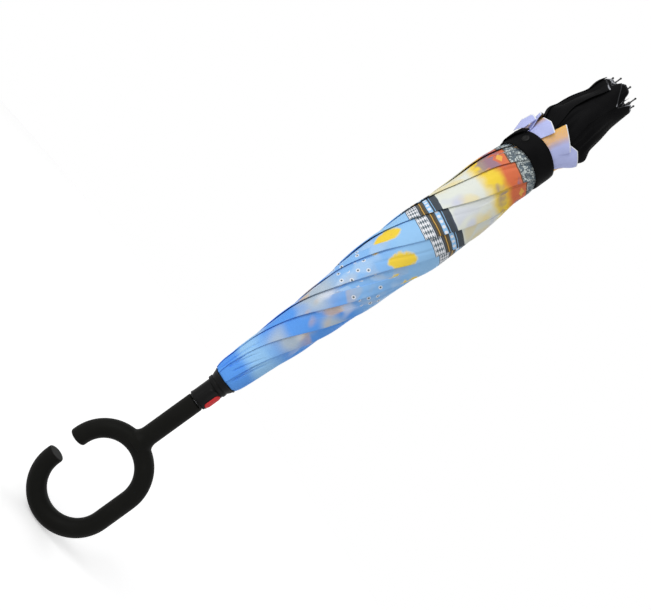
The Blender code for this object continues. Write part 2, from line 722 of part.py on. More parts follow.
def stretcher_mesh():
    """A stretcher: a flat bar from the joint pin's eye to its end in the top notch."""
    radius, height = joint_place()
    length = math.hypot(NOTCH_PIVOT_RADIUS - radius, NOTCH_PIVOT_Z - height)
    half = STRETCHER_WIDTH / 2
    low = math.asin(half / STRETCHER_EYE_RADIUS)
    outline = arc((0, 0), STRETCHER_EYE_RADIUS, math.pi / 2 + low, math.pi * 5 / 2 - low, 8)
    outline += arc((0, length), STRETCHER_END_RADIUS, 0.0, math.pi, 5)
    hole = circle((0, 0), JOINT_PIN_RADIUS + STRETCHER_HOLE_GAP, SMALL_SIDES)
    near = stretcher_side()
    return plate("stretcher", [outline, hole], near, near + STRETCHER_THICKNESS, "XZ")


def make_ribs():
    """The eight ribs with their rods, tips and stretchers."""
    channel, rod, tip = rib_channel_mesh(), rib_rod_mesh(), rib_tip_mesh()
    stretcher = stretcher_mesh()
    radius, height = joint_place()
    lean = math.atan2(NOTCH_PIVOT_RADIUS - radius, NOTCH_PIVOT_Z - height)
    for index in range(RIB_COUNT):
        around = Matrix.Rotation(rib_angle(index), 4, "Z")
        rib = (around @ Matrix.Translation((RIB_PIVOT_RADIUS, 0, RIB_PIVOT_Z))
               @ Matrix.Rotation(RIB_SPLAY, 4, "Y"))
        strut = (around @ Matrix.Translation((radius, 0, height))
                 @ Matrix.Rotation(lean, 4, "Y"))
        place(f"rib_channel_{index}", channel.copy(), STEEL, rib)
        place(f"rib_rod_{index}", rod.copy(), ROD_BLACK, rib)
        place(f"rib_tip_{index}", tip.copy(), BLACK_STEEL, rib)
        place(f"stretcher_{index}", stretcher.copy(), STEEL, strut)


def make_notch():
    """The top notch that the stretchers swing in, and the cap on the shaft."""
    bore = SHAFT_RADIUS + RUNNING_GAP
    outline = [
        (NOTCH_RADIUS, NOTCH_TOP_Z), (NOTCH_RADIUS, NOTCH_FOOT_Z),
        (NOTCH_BOSS_RADIUS, NOTCH_FOOT_Z), (NOTCH_BOSS_RADIUS, NOTCH_FOOT_Z - NOTCH_BOSS_HEIGHT),
        (bore, NOTCH_FOOT_Z - NOTCH_BOSS_HEIGHT), (bore, NOTCH_TOP_Z),
    ]
    notch = place("top_notch", turned("notch", outline, SHAFT_SIDES), RUNNER_BLACK)
    near = stretcher_side()
    radial_slots(
        notch, (NOTCH_SLOT_FLOOR_RADIUS, near - NOTCH_SLOT_GAP, NOTCH_FOOT_Z - CUT_OVERRUN),
        (NOTCH_RADIUS + CUT_OVERRUN, near + STRETCHER_THICKNESS + NOTCH_SLOT_GAP,
         NOTCH_TOP_Z + CUT_OVERRUN))
    foot = SHAFT_TOP_Z + CLEARANCE
    plug = SHAFT_RADIUS - SHAFT_WALL - RUNNING_GAP
    outline = [(CAP_RADIUS * math.cos(a), foot + CAP_FLAT + (CAP_HEIGHT - CAP_FLAT) * math.sin(a))
               for a in (math.pi / 2 * (1 - k / CAP_STEPS) for k in range(CAP_STEPS + 1))]
    outline[0] = (0.0, foot + CAP_HEIGHT)
    outline += [(CAP_RADIUS, foot), (plug, foot), (plug, foot - CAP_PLUG_LENGTH),
                (0.0, foot - CAP_PLUG_LENGTH)]
    place("crown_cap", turned("cap", outline, SHAFT_SIDES), RUNNER_BLACK)


def helix_turns(rows, length, radius, tangent, ease):
    """How far a panel has wound round the shaft at each row of its profile."""
    turns = [(0.0, 0.0)]
    for (low, low_radius), (high, high_radius) in zip(rows, rows[1:]):
        middle = (low + high) / 2 * length
        lean = tangent * min(1.0, middle / ease)
        mean = (low_radius + high_radius) / 2 * radius
        turns.append((high, turns[-1][1] + lean * (high - low) * length / mean))
    return turns


def between(rows, share):
    """A table's value at a share of the length."""
    for (low, start), (high, end) in zip(rows, rows[1:]):
        if share <= high:
            return start + (end - start) * (share - low) / (high - low)
    return rows[-1][1]


def panel_mesh(name, rows, foot, length, radius, turns, step_at, hem_from, hem_at):
    """A furled panel as an open sheet: a grid wound on the profile's rows.

    step_at gives how far the fold edge stands proud of the inner edge at a share of the
    length. Rows past hem_from are drawn back towards it by hem_at, which follows the width."""
    bm = bmesh.new()
    bmesh.ops.create_grid(bm, x_segments=PANEL_SEGMENTS, y_segments=len(rows) - 1, size=0.5)
    for vertex in bm.verts:
        across = vertex.co.x + 0.5
        share = rows[round((vertex.co.y + 0.5) * (len(rows) - 1))][0]
        if share > hem_from:
            drawn = hem_at(across) / (length * (1.0 - hem_from))
            share = hem_from + (share - hem_from) * (1.0 - drawn)
        reach = radius * between(rows, share) - step_at(share) * (1.0 - across)
        angle = between(turns, share) + across * PANEL_SPAN
        vertex.co = (reach * math.cos(angle), reach * math.sin(angle), foot + share * length)
    mesh = bpy.data.meshes.new(name)
    bm.to_mesh(mesh)
    bm.free()
    smooth(mesh)
    return mesh


def make_panels(name, mesh, thickness, look):
    """Eight copies of a panel round the shaft, each given its thickness inwards."""
    for index in range(RIB_COUNT):
        turn = Matrix.Rotation(rib_angle(index), 4, "Z")
        panel = place(f"{name}_{index}", mesh.copy(), look, turn)
        shell = panel.modifiers.new("thickness", "SOLIDIFY")
        shell.thickness = thickness
        shell.offset = -1.0
        shell.use_even_offset = True


def make_canopy():
    """The printed inner layer and the black outer layer, furled."""
    length = PRINT_HEM_Z - PRINT_FOOT_Z
    turns = helix_turns(PRINT_PROFILE_SHARES, length, FURL_RADIUS, FOLD_TANGENT,
                        FOLD_EASE_LENGTH)
    mesh = panel_mesh(
        "printed", PRINT_PROFILE_SHARES, PRINT_FOOT_Z, length, FURL_RADIUS, turns,
        lambda share: PRINT_FOLD_HEIGHT * between(PRINT_FOLD_SHARES, share), PRINT_FLARE_SHARE,
        lambda across: PRINT_HEM_SLANT * (1.0 - across))
    make_panels("inner_gore", mesh, PRINT_THICKNESS, PRINT_BLUE)

    length = LINING_HEM_Z - LINING_FOOT_Z
    turns = helix_turns(LINING_PROFILE_SHARES, length, LINING_RADIUS, LINING_FOLD_TANGENT,
                        length)
    mesh = panel_mesh(
        "lining", LINING_PROFILE_SHARES, LINING_FOOT_Z, length, LINING_RADIUS, turns,
        lambda share: LINING_FOLD_HEIGHT, LINING_SCALLOP_SHARE,
        lambda across: LINING_SCALLOP * math.sin(math.pi * across) ** 2)
    make_panels("outer_gore", mesh, LINING_THICKNESS, LINING_BLACK)


def make_strap():
    """The tie strap's band and its bunched end."""
    outer = STRAP_INNER_RADIUS + STRAP_THICKNESS
    top = STRAP_FOOT_Z + STRAP_WIDTH
    band = turned("band", ring_outline(STRAP_INNER_RADIUS, outer, STRAP_FOOT_Z, top), STRAP_SIDES)
    strap = place("tie_strap", band, LINING_BLACK)
    tab = block("tab", (-STRAP_TAB_SINK, -STRAP_TAB_WIDTH / 2, -STRAP_TAB_LENGTH / 2),
                (STRAP_TAB_THICKNESS, STRAP_TAB_WIDTH / 2, STRAP_TAB_LENGTH / 2))
    tab.transform(
        Matrix.Rotation(STRAP_TAB_ANGLE, 4, "Z")
        @ Matrix.Translation((outer, 0, STRAP_FOOT_Z + STRAP_WIDTH / 2))
        @ Matrix.Rotation(STRAP_TAB_TILT, 4, "X"))
    boolean(strap, tab, "UNION")


def main():
    make_handle()
    make_shaft()
    make_hub()
    make_wire()
    make_sleeve()
    make_collar()
    make_button()
    make_ribs()
    make_notch()
    make_canopy()
    make_strap()


main()
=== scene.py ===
"""Dressed model of a closed reverse-folding umbrella, laid out as an add-on and run as a script.

Everything is in metres in the frame of the CAD part: +Z runs along the shaft from the C-shaped
handle to the rib tips, and the camera looks along +Y with the shaft rising to the right.
"""

import math
import random

import bmesh
import bpy
from mathutils import Matrix, Vector, noise


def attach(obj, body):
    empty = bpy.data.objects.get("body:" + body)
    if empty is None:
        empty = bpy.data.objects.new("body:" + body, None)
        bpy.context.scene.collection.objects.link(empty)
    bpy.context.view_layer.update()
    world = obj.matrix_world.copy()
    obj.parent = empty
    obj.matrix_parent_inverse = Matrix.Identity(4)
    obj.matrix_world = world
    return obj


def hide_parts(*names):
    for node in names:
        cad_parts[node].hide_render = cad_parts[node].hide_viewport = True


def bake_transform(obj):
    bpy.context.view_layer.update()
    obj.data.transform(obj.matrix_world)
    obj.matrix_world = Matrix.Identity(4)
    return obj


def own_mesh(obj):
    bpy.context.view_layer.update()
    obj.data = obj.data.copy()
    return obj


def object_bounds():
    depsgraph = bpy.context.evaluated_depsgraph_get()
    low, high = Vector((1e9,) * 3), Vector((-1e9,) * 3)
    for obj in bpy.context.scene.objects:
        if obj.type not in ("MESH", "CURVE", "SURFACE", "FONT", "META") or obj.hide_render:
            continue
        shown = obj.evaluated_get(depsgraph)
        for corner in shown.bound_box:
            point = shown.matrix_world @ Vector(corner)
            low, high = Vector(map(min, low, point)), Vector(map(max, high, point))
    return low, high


bl_info = {
    "name": "Reverse-folding umbrella",
    "version": (1, 0, 0),
    "blender": (4, 5, 0),
    "location": "3D View > Sidebar > Umbrella",
    "description": "Builds the furled canopy, handle, runner, strap and studio round the CAD part",
    "category": "Object",
}

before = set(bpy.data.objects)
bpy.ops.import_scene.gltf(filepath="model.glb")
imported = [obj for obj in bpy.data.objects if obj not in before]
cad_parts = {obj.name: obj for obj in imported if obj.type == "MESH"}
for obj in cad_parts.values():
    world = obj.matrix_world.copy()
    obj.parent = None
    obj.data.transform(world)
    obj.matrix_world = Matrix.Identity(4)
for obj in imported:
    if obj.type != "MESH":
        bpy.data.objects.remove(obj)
CAD_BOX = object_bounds()

RIB_COUNT = 8
RIB_STEP = math.tau / RIB_COUNT
# Half a panel's width at 1 m from the apex
HALF_GORE = math.tan(RIB_STEP / 2)
RIB_HINGE_RADIUS = 0.012
MERGE_DISTANCE = 0.00001

# The furled printed canopy: share of its length, share of its greatest radius
PRINT_PROFILE = (
    (0.000, 0.475), (0.013, 0.522), (0.043, 0.564), (0.081, 0.601), (0.137, 0.637),
    (0.192, 0.676), (0.248, 0.715), (0.306, 0.771), (0.361, 0.844), (0.419, 0.888),
    (0.483, 0.940), (0.549, 0.988), (0.624, 0.990), (0.660, 0.975), (0.699, 0.945),
    (0.774, 0.925), (0.829, 0.872), (0.855, 0.820), (0.915, 0.820), (0.936, 0.905),
    (0.957, 0.955), (0.979, 0.985), (1.000, 0.990),
)
# Height, and how far the furled cloth leans towards +X there
SWAY = (
    (0.184, -0.0007), (0.230, -0.0005), (0.270, 0.0000), (0.335, 0.0000), (0.360, -0.0011),
    (0.400, -0.0017), (0.430, -0.0004), (0.500, 0.0002), (0.530, -0.0013), (0.556, -0.0028),
    (0.580, -0.0021), (0.612, -0.0020), (0.640, -0.0006), (0.664, -0.0014), (0.680, -0.0016),
    (0.700, -0.0004), (0.730, -0.0003),
)
# Height, and how many degrees the printed fold edges stand ahead of their even winding
PRINT_LAY = (
    (0.184, 0.0), (0.300, 8.0), (0.360, 9.0), (0.460, 7.0), (0.520, 3.0), (0.575, -2.0),
    (0.590, 2.0), (0.604, 16.0), (0.615, 8.0), (0.626, -1.0), (0.640, -6.0), (0.660, -12.0),
)
# Height and radius of the furled black lining
LINING_PROFILE = (
    (0.300, 0.0190), (0.360, 0.0235), (0.420, 0.0270), (0.470, 0.0288), (0.530, 0.0270),
    (0.575, 0.0248), (0.605, 0.0248), (0.624, 0.0277), (0.640, 0.0298), (0.652, 0.0312),
    (0.664, 0.0304), (0.676, 0.0284), (0.688, 0.0260), (0.700, 0.0250), (0.7165, 0.0243),
)
# Angle in degrees round the shaft, and how high the black hem can stand there
LINING_HELD = (
    (-202, 0.703), (-180, 0.712), (-165, 0.7135), (-147, 0.7155), (-129, 0.7088), (-118, 0.714),
    (-105, 0.718), (-88, 0.7170), (-78, 0.7155), (-71, 0.7105), (-64, 0.7025), (-57, 0.6977),
    (-51, 0.7060), (-44, 0.7115), (-32, 0.7105), (-14, 0.7150), (4, 0.7145), (18, 0.7080),
    (32, 0.7050), (45, 0.711), (68, 0.703), (90, 0.711),
    (112, 0.703), (135, 0.711), (158, 0.703), (180, 0.711), (195, 0.713),
)
# How far a panel reaches back under its own fold edge, and how far on it dives under the next
UNDER_ARC = math.radians(14)
DIVE_ARC = math.radians(9)
# Width of the step down into a panel's second fold
TUCK_LIP = 0.00035


# Sizes and colours that a user would change


def length(name, description, default):
    """A length property in metres."""
    return bpy.props.FloatProperty(
        name=name, description=description, default=default, unit="LENGTH",
        subtype="DISTANCE", precision=5)


def angle(name, description, degrees):
    """An angle property, its default given in degrees."""
    return bpy.props.FloatProperty(
        name=name, description=description, default=math.radians(degrees),
        unit="ROTATION", subtype="ANGLE")


def factor(name, description, default):
    """A plain number property."""
    return bpy.props.FloatProperty(name=name, description=description, default=default)


def colour(name, description, red, green, blue):
    """A colour property, its default given as display values from 0 to 255."""
    return bpy.props.FloatVectorProperty(
        name=name, description=description, subtype="COLOR", size=3, min=0.0, max=1.0,
        default=tuple(linear(value) for value in (red, green, blue)))


def linear(value):
    """A display value from 0 to 255 as linear light."""
    value /= 255.0
    return value / 12.92 if value <= 0.04045 else ((value + 0.055) / 1.055) ** 2.4


class UmbrellaHandle(bpy.types.PropertyGroup):
    bar: length("Bar radius", "Radius of the handle's round bar", 0.0109)
    bend: length("Bend radius", "Radius of the C along the bar's centre", 0.044)
    straight: length("Half straight", "Half the straight side of the C", 0.01865)
    mouth_top: length("Mouth top", "Height of the upper end of the C", 0.0144)
    mouth_foot: length("Mouth foot", "Height of the lower end of the C", -0.0134)
    end_round: length("End rounding", "Rounding of the C's two ends", 0.0018)
    stub: length("Stub radius", "Radius of the straight stub", 0.0112)
    stub_top: length("Stub top", "Height of the stub's upper end", 0.143)
    root_flare: length("Root flare", "How far the stub's root widens", 0.0033)
    root_height: length("Root height", "Height over which the stub's root widens", 0.010)
    voxel: length("Skin grain", "Voxel size of the handle's skin", 0.0007)
    rubber: colour("Rubber", "Soft-touch handle", 17, 17, 15)


class UmbrellaRunner(bpy.types.PropertyGroup):
    edge: length("Edge rounding", "Rounding of the moulded edges", 0.00022)
    button_edge: length("Button edge", "Rounding of the release button's edges", 0.0004)
    collar_foot: length("Collar foot", "Height of the collar's lower end", 0.1703)
    collar_top: length("Collar top", "Height of the collar's lip", 0.1834)
    shoulder: length("Shoulder radius", "Radius of the collar's shoulder ring", 0.0139)
    shoulder_height: length("Shoulder height", "Height of the shoulder ring", 0.0038)
    waist: length("Waist radius", "Radius between the shoulder and the flare", 0.0133)
    lip: length("Lip radius", "Radius of the lip under the canopy", 0.0165)
    lip_height: length("Lip height", "Height of the lip", 0.0013)
    bore: length("Collar bore", "Radius of the bore of the collar", 0.0084)
    plastic: colour("Runner plastic", "Moulded runner", 9, 9, 9)
    button: colour("Button", "Release button", 206, 52, 55)


class UmbrellaCanopy(bpy.types.PropertyGroup):
    foot: length("Print foot", "Height where the printed cloth starts", 0.184)
    hem: length("Print hem", "Height of the printed hem at a fold edge", 0.6265)
    top: length("Print top", "Greatest height of the printed hem", 0.652)
    apex: length("Apex", "Height of the panels' apex on the runner", 0.188)
    radius: length("Furled radius", "Greatest radius of the furled cloth", 0.0358)
    wind: factor("Winding", "Slope of the fold edges round the shaft", 0.405)
    wind_ease: length("Winding ease", "Length over which the winding starts", 0.110)
    lead: angle("Fold lead", "From a rib to its panel's fold edge at the foot", 97.5)
    step: length("Fold step", "How far a fold edge stands on the next panel", 0.0019)
    roll: factor("Fold roll", "Height of the rolled fold edge as a share of its step", 0.46)
    stray: angle("Fold stray", "How far the fold edges wander", 6.0)
    facet: length("Facet", "How far the cloth sinks between two fold edges", 0.0009)
    tuck: length("Tuck", "Height of the second fold in a panel", 0.0008)
    tuck_shift: length("Tuck shift", "Cloth hidden in the second fold", 0.009)
    thickness: length("Cloth thickness", "Thickness of the cloth", 0.00022)
    rib_cover: length("Rib cover", "Radius of the ribs' outer side at the runner", 0.0148)
    rib_splay: factor("Rib splay", "Slope of the ribs away from the shaft", 0.0131)
    hem_slope: factor("Hem slope", "Rise of the hem away from a fold edge", 0.40)
    lining_hem: length("Lining hem", "Height of the black hem at the rib tips", 0.7165)
    lining_wind: factor("Lining winding", "Slope of the lining's folds past the strap", 0.16)
    lining_lay: angle("Lining lay", "Turn of the lining's fold edges from the even winding", -15.0)
    strip: length("Strip", "Width that each open panel is folded to beside its rib", 0.009)


class UmbrellaPrint(bpy.types.PropertyGroup):
    sky: colour("Sky", "Ground colour near the handle", 78, 156, 246)
    pale_sky: colour("Pale sky", "Lighter ground colour", 150, 203, 250)
    mist: colour("Mist", "Soft patches on the sky", 196, 206, 205)
    cream: colour("Cream", "Ground colour of the middle", 231, 235, 226)
    yellow: colour("Yellow", "Petals and rings", 249, 214, 44)
    amber: colour("Amber", "Warm ground near the hem", 240, 184, 66)
    brick: colour("Brick", "Orange-red lozenges", 222, 106, 58)
    plum: colour("Plum", "Purple-grey patches", 132, 116, 146)
    peach: colour("Peach", "Soft orange of the hem border", 238, 186, 120)
    slate: colour("Slate", "Tile ring's dark tiles", 88, 104, 116)
    navy: colour("Navy", "Dark rings", 34, 46, 62)
    brown: colour("Brown", "Brown ring", 74, 58, 30)
    lavender: colour("Lavender", "Hem border", 186, 194, 244)
    seam: colour("Seam", "Hem tape and stitches", 240, 242, 248)
    lining: colour("Lining", "Black lining and strap", 8, 8, 9)
    # Painted highlight: this grey is the hem tape's sheen, laid in spots on the black hem
    lining_hem: colour("Lining hem", "Grey tape on the black hem", 158, 160, 165)


class UmbrellaStrap(bpy.types.PropertyGroup):
    foot: length("Foot", "Height of the band's lower edge", 0.5848)
    width: length("Width", "Width of the band", 0.0233)
    radius: length("Inner radius", "Inner radius of the band", 0.0294)
    thickness: length("Thickness", "Thickness of the doubled band", 0.0010)
    sag: length("Sag", "How far the band's sides hang below its front", 0.0055)
    lean: length("Lean", "How far the band stands off the shaft's axis", -0.0020)
    tab_width: length("Tab width", "Width of the bunched end", 0.0130)
    snap: length("Snap radius", "Radius of the snap fastener", 0.0042)


class UmbrellaStudio(bpy.types.PropertyGroup):
    distance: length("Camera distance", "From the camera to the shaft", 0.830)
    height: length("Camera height", "Height of the camera on the shaft", 0.320)
    aside: length("Camera aside", "Camera's place across the shaft", -0.0024)
    scale: factor("Scale", "Pixels per metre at the shaft", 912.0)
    across: factor("Shaft across", "Share of the shaft's direction along the image's width", 0.810)
    ambient: factor("Ambient", "Strength of the world's light", 0.42)
    key: factor("Key light", "Power of the large lamp", 26.0)
    fill: factor("Fill light", "Power of the second lamp", 6.0)
    floor: length("Floor radius", "Radius of the pale floor", 1.6)
    floor_drop: length("Floor gap", "Gap under the handle", 0.0002)


SETTING_GROUPS = {
    "umbrella_handle": UmbrellaHandle,
    "umbrella_runner": UmbrellaRunner,
    "umbrella_canopy": UmbrellaCanopy,
    "umbrella_print": UmbrellaPrint,
    "umbrella_strap": UmbrellaStrap,
    "umbrella_studio": UmbrellaStudio,
}


# Shader sums


def maths(operation):
    """A method of Signal that adds a maths node."""
    return lambda self, *others: self.math(operation, *others)


class Signal:
    """A socket of a shader graph that can stand in a Python sum."""

    __add__ = __radd__ = maths("ADD")
    __sub__ = maths("SUBTRACT")
    __mul__ = __rmul__ = maths("MULTIPLY")
    __truediv__ = maths("DIVIDE")
    __pow__ = maths("POWER")
    __abs__ = maths("ABSOLUTE")
    low = maths("MINIMUM")
    high = maths("MAXIMUM")
    wave = maths("SINE")

    def __init__(self, graph, socket):
        self.graph = graph
        self.socket = socket

    def __rsub__(self, other):
        return self.graph.node("ShaderNodeMath", {"operation": "SUBTRACT"}, {0: other, 1: self})

    def math(self, operation, *others):
        values = dict(enumerate((self, *others)))
        return self.graph.node("ShaderNodeMath", {"operation": operation}, values)

    def repeat(self, period):
        """The value's distance from the middle of its period, from 0 to half a period."""
        return abs(self.math("FLOORED_MODULO", period) - period / 2)

    def cell(self, size):
        """The number of the cell that the value is in."""
        return (self / size).math("FLOOR")

    def step(self, start, end):
        """0 below start and 1 above end, smoothly between; the other way round if start > end."""
        rises = start < end
        return self.graph.node("ShaderNodeMapRange", {"interpolation_type": "SMOOTHSTEP"},
                               {"Value": self, "From Min": min(start, end),
                                "From Max": max(start, end),
                                "To Min": float(not rises), "To Max": float(rises)})

    def band(self, low, high, soft):
        """1 between low and high."""
        return self.step(low - soft, low + soft) * self.step(high + soft, high - soft)

    def times(self, scale):
        """A vector scaled by a number or by another vector."""
        scale = scale if isinstance(scale, tuple) else (scale, scale, scale)
        return self.graph.node("ShaderNodeVectorMath", {"operation": "MULTIPLY"}, {0: self, 1: scale})

    def plus(self, other):
        """A vector moved by another."""
        return self.graph.node("ShaderNodeVectorMath", {"operation": "ADD"}, {0: self, 1: other})

    def parts(self):
        """A vector's three numbers."""
        node = self.graph.make("ShaderNodeSeparateXYZ", {}, {0: self})
        return [Signal(self.graph, node.outputs[k]) for k in range(3)]


class Graph:
    """The nodes of a material, or of the world, built from Python."""

    def __init__(self, owner, shader="Principled BSDF"):
        owner.use_nodes = True
        self.owner = owner
        self.nodes = owner.node_tree.nodes
        self.links = owner.node_tree.links
        self.shader = self.nodes[shader]

    def make(self, kind, settings, values):
        """A node with its settings made first, then the values or links of its sockets."""
        made = self.nodes.new(kind)
        for key, value in settings.items():
            setattr(made, key, value)
        for key, value in values.items():
            self.feed(made.inputs[key], value)
        return made

    def node(self, kind, settings, values, output=0):
        return Signal(self, self.make(kind, settings, values).outputs[output])

    def feed(self, socket, value):
        if isinstance(value, Signal):
            self.links.new(value.socket, socket)
        elif socket.type == "RGBA":
            socket.default_value = (*value[:3], 1.0)
        else:
            socket.default_value = value

    def mix(self, share, first, second, blend="MIX"):
        """A colour between two, by a share that a surface may change."""
        return self.node("ShaderNodeMix", {"data_type": "RGBA", "blend_type": blend},
                         {0: share, 6: first, 7: second}, 2)

    def place(self):
        """Where a point is on the part."""
        return self.node("ShaderNodeTexCoord", {}, {}, "Object")

    def attribute(self, name):
        """A vector kept on the piece's own points."""
        return self.node("ShaderNodeAttribute", {"attribute_name": name}, {}, "Vector")

    def join(self, x, y, z=0.0):
        return self.node("ShaderNodeCombineXYZ", {}, {0: x, 1: y, 2: z})

    def grain(self, place, scale, detail=2.0, roughness=0.5):
        """Noise from 0 to 1."""
        return self.node("ShaderNodeTexNoise", {},
                         {"Vector": place, "Scale": scale, "Detail": detail,
                          "Roughness": roughness})

    def cells(self, place, scale, feature="F1", output="Distance"):
        """A pattern of cells."""
        return self.node("ShaderNodeTexVoronoi", {"feature": feature},
                         {"Vector": place, "Scale": scale}, output)

    def bump(self, height, strength, distance):
        return self.node("ShaderNodeBump", {},
                         {"Height": height, "Strength": strength, "Distance": distance})

    def seen_by(self, *kinds):
        """1 for rays of the given kinds."""
        rays = self.make("ShaderNodeLightPath", {}, {})
        seen = Signal(self, rays.outputs[f"Is {kinds[0]} Ray"])
        for kind in kinds[1:]:
            seen = seen.high(Signal(self, rays.outputs[f"Is {kind} Ray"]))
        return seen

    def finish(self, **sockets):
        """Feeds the shader's sockets, named with _ for a space."""
        for name, value in sockets.items():
            self.feed(self.shader.inputs[name.replace("_", " ")], value)
        return self.owner


def material_graph(name):
    return Graph(bpy.data.materials.new(name))


def rubber_finish(name, base):
    """Soft-touch rubber: near black, fine grain, rubbed a little paler in places."""
    graph = material_graph(name)
    place = graph.place()
    worn = graph.grain(place, 38.0, 4.0, 0.6)
    dust = graph.grain(place, 900.0, 2.0)
    tone = graph.mix(worn.step(0.45, 0.75) * 0.35, base, [c * 1.6 + 0.002 for c in base])
    return graph.finish(Base_Color=tone, Roughness=0.5 + 0.14 * worn, Specular_IOR_Level=0.06,
                        Normal=graph.bump(dust, 0.18, 0.00008))


def moulded_finish(name, base, gloss=0.34):
    """Moulded plastic: faint flow marks and fine handling scratches."""
    graph = material_graph(name)
    place = graph.place()
    flow = graph.grain(place.times((60.0, 60.0, 14.0)), 1.0, 3.0)
    marks = graph.grain(place.times((900.0, 900.0, 120.0)), 1.0, 2.0)
    tone = graph.mix(flow * 0.5, base, [c * 1.35 for c in base])
    return graph.finish(Base_Color=tone, Roughness=gloss + 0.16 * flow, Specular_IOR_Level=0.11,
                        Normal=graph.bump(marks, 0.08, 0.00006))


def steel_finish(name, base, rough, metal=1.0):
    """Drawn metal: lines along the shaft, a few darker spots."""
    graph = material_graph(name)
    place = graph.place()
    drawn = graph.grain(place.times((2600.0, 2600.0, 40.0)), 1.0, 2.0)
    spots = graph.grain(place, 160.0, 3.0).step(0.60, 0.78)
    tone = graph.mix(spots * 0.4, base, [c * 0.55 for c in base])
    return graph.finish(Base_Color=tone, Roughness=rough + 0.10 * drawn + 0.12 * spots,
                        Metallic=metal, Normal=graph.bump(drawn, 0.10, 0.00004))


def weave(cloth):
    """Height of a plain weave on cloth coordinates in metres."""
    thread_pitch = 0.00042
    warp, weft, _ = cloth.times(math.tau / thread_pitch).parts()
    return warp.wave() * weft.wave()


def lining_finish(name, base, tape):
    """Black pongee cloth with a soft sheen, and a grey band along the hem that is faint all along and
    carries painted highlight, the hem tape's sheen, in spots placed by noise.
    """
    graph = material_graph(name)
    cloth = graph.attribute("cloth")
    hem = graph.attribute("disc").parts()[2]
    soft = graph.grain(cloth, 46.0, 3.0)
    painted_sheen_spots = graph.grain(cloth, 60.0, 1.0).step(0.50, 0.62)
    tone = graph.mix(soft.step(0.35, 0.75), base, [c * 1.6 + 0.001 for c in base])
    # Grey band within 1.5 mm of the hem: faint all along, full grey in the noise spots of painted
    # highlight (the hem tape's sheen)
    tone = graph.mix(hem.band(-0.0002, 0.0015, 0.0001) * (0.10 + 0.90 * painted_sheen_spots), tone, tape)
    return graph.finish(Base_Color=tone, Roughness=0.55 + 0.12 * soft, Specular_IOR_Level=0.04,
                        Normal=graph.bump(weave(cloth), 0.10, 0.00005))


# Narrow rings of the print: from and to, measured from the open canopy's middle, ink and motif
PRINT_RINGS = (
    (0.2780, 0.2788, "navy", None), (0.2788, 0.2908, "seam", None),
    (0.2796, 0.2900, "slate", "diamonds"), (0.2908, 0.2925, "navy", None),
    (0.2925, 0.2990, "brown", None), (0.2950, 0.2957, "amber", None),
    (0.2990, 0.3002, "navy", None), (0.3002, 0.3052, "pale_sky", None),
    (0.2990, 0.3060, "seam", "beads"), (0.3052, 0.3156, "navy", None),
    (0.3072, 0.3078, "pale_sky", None),
)


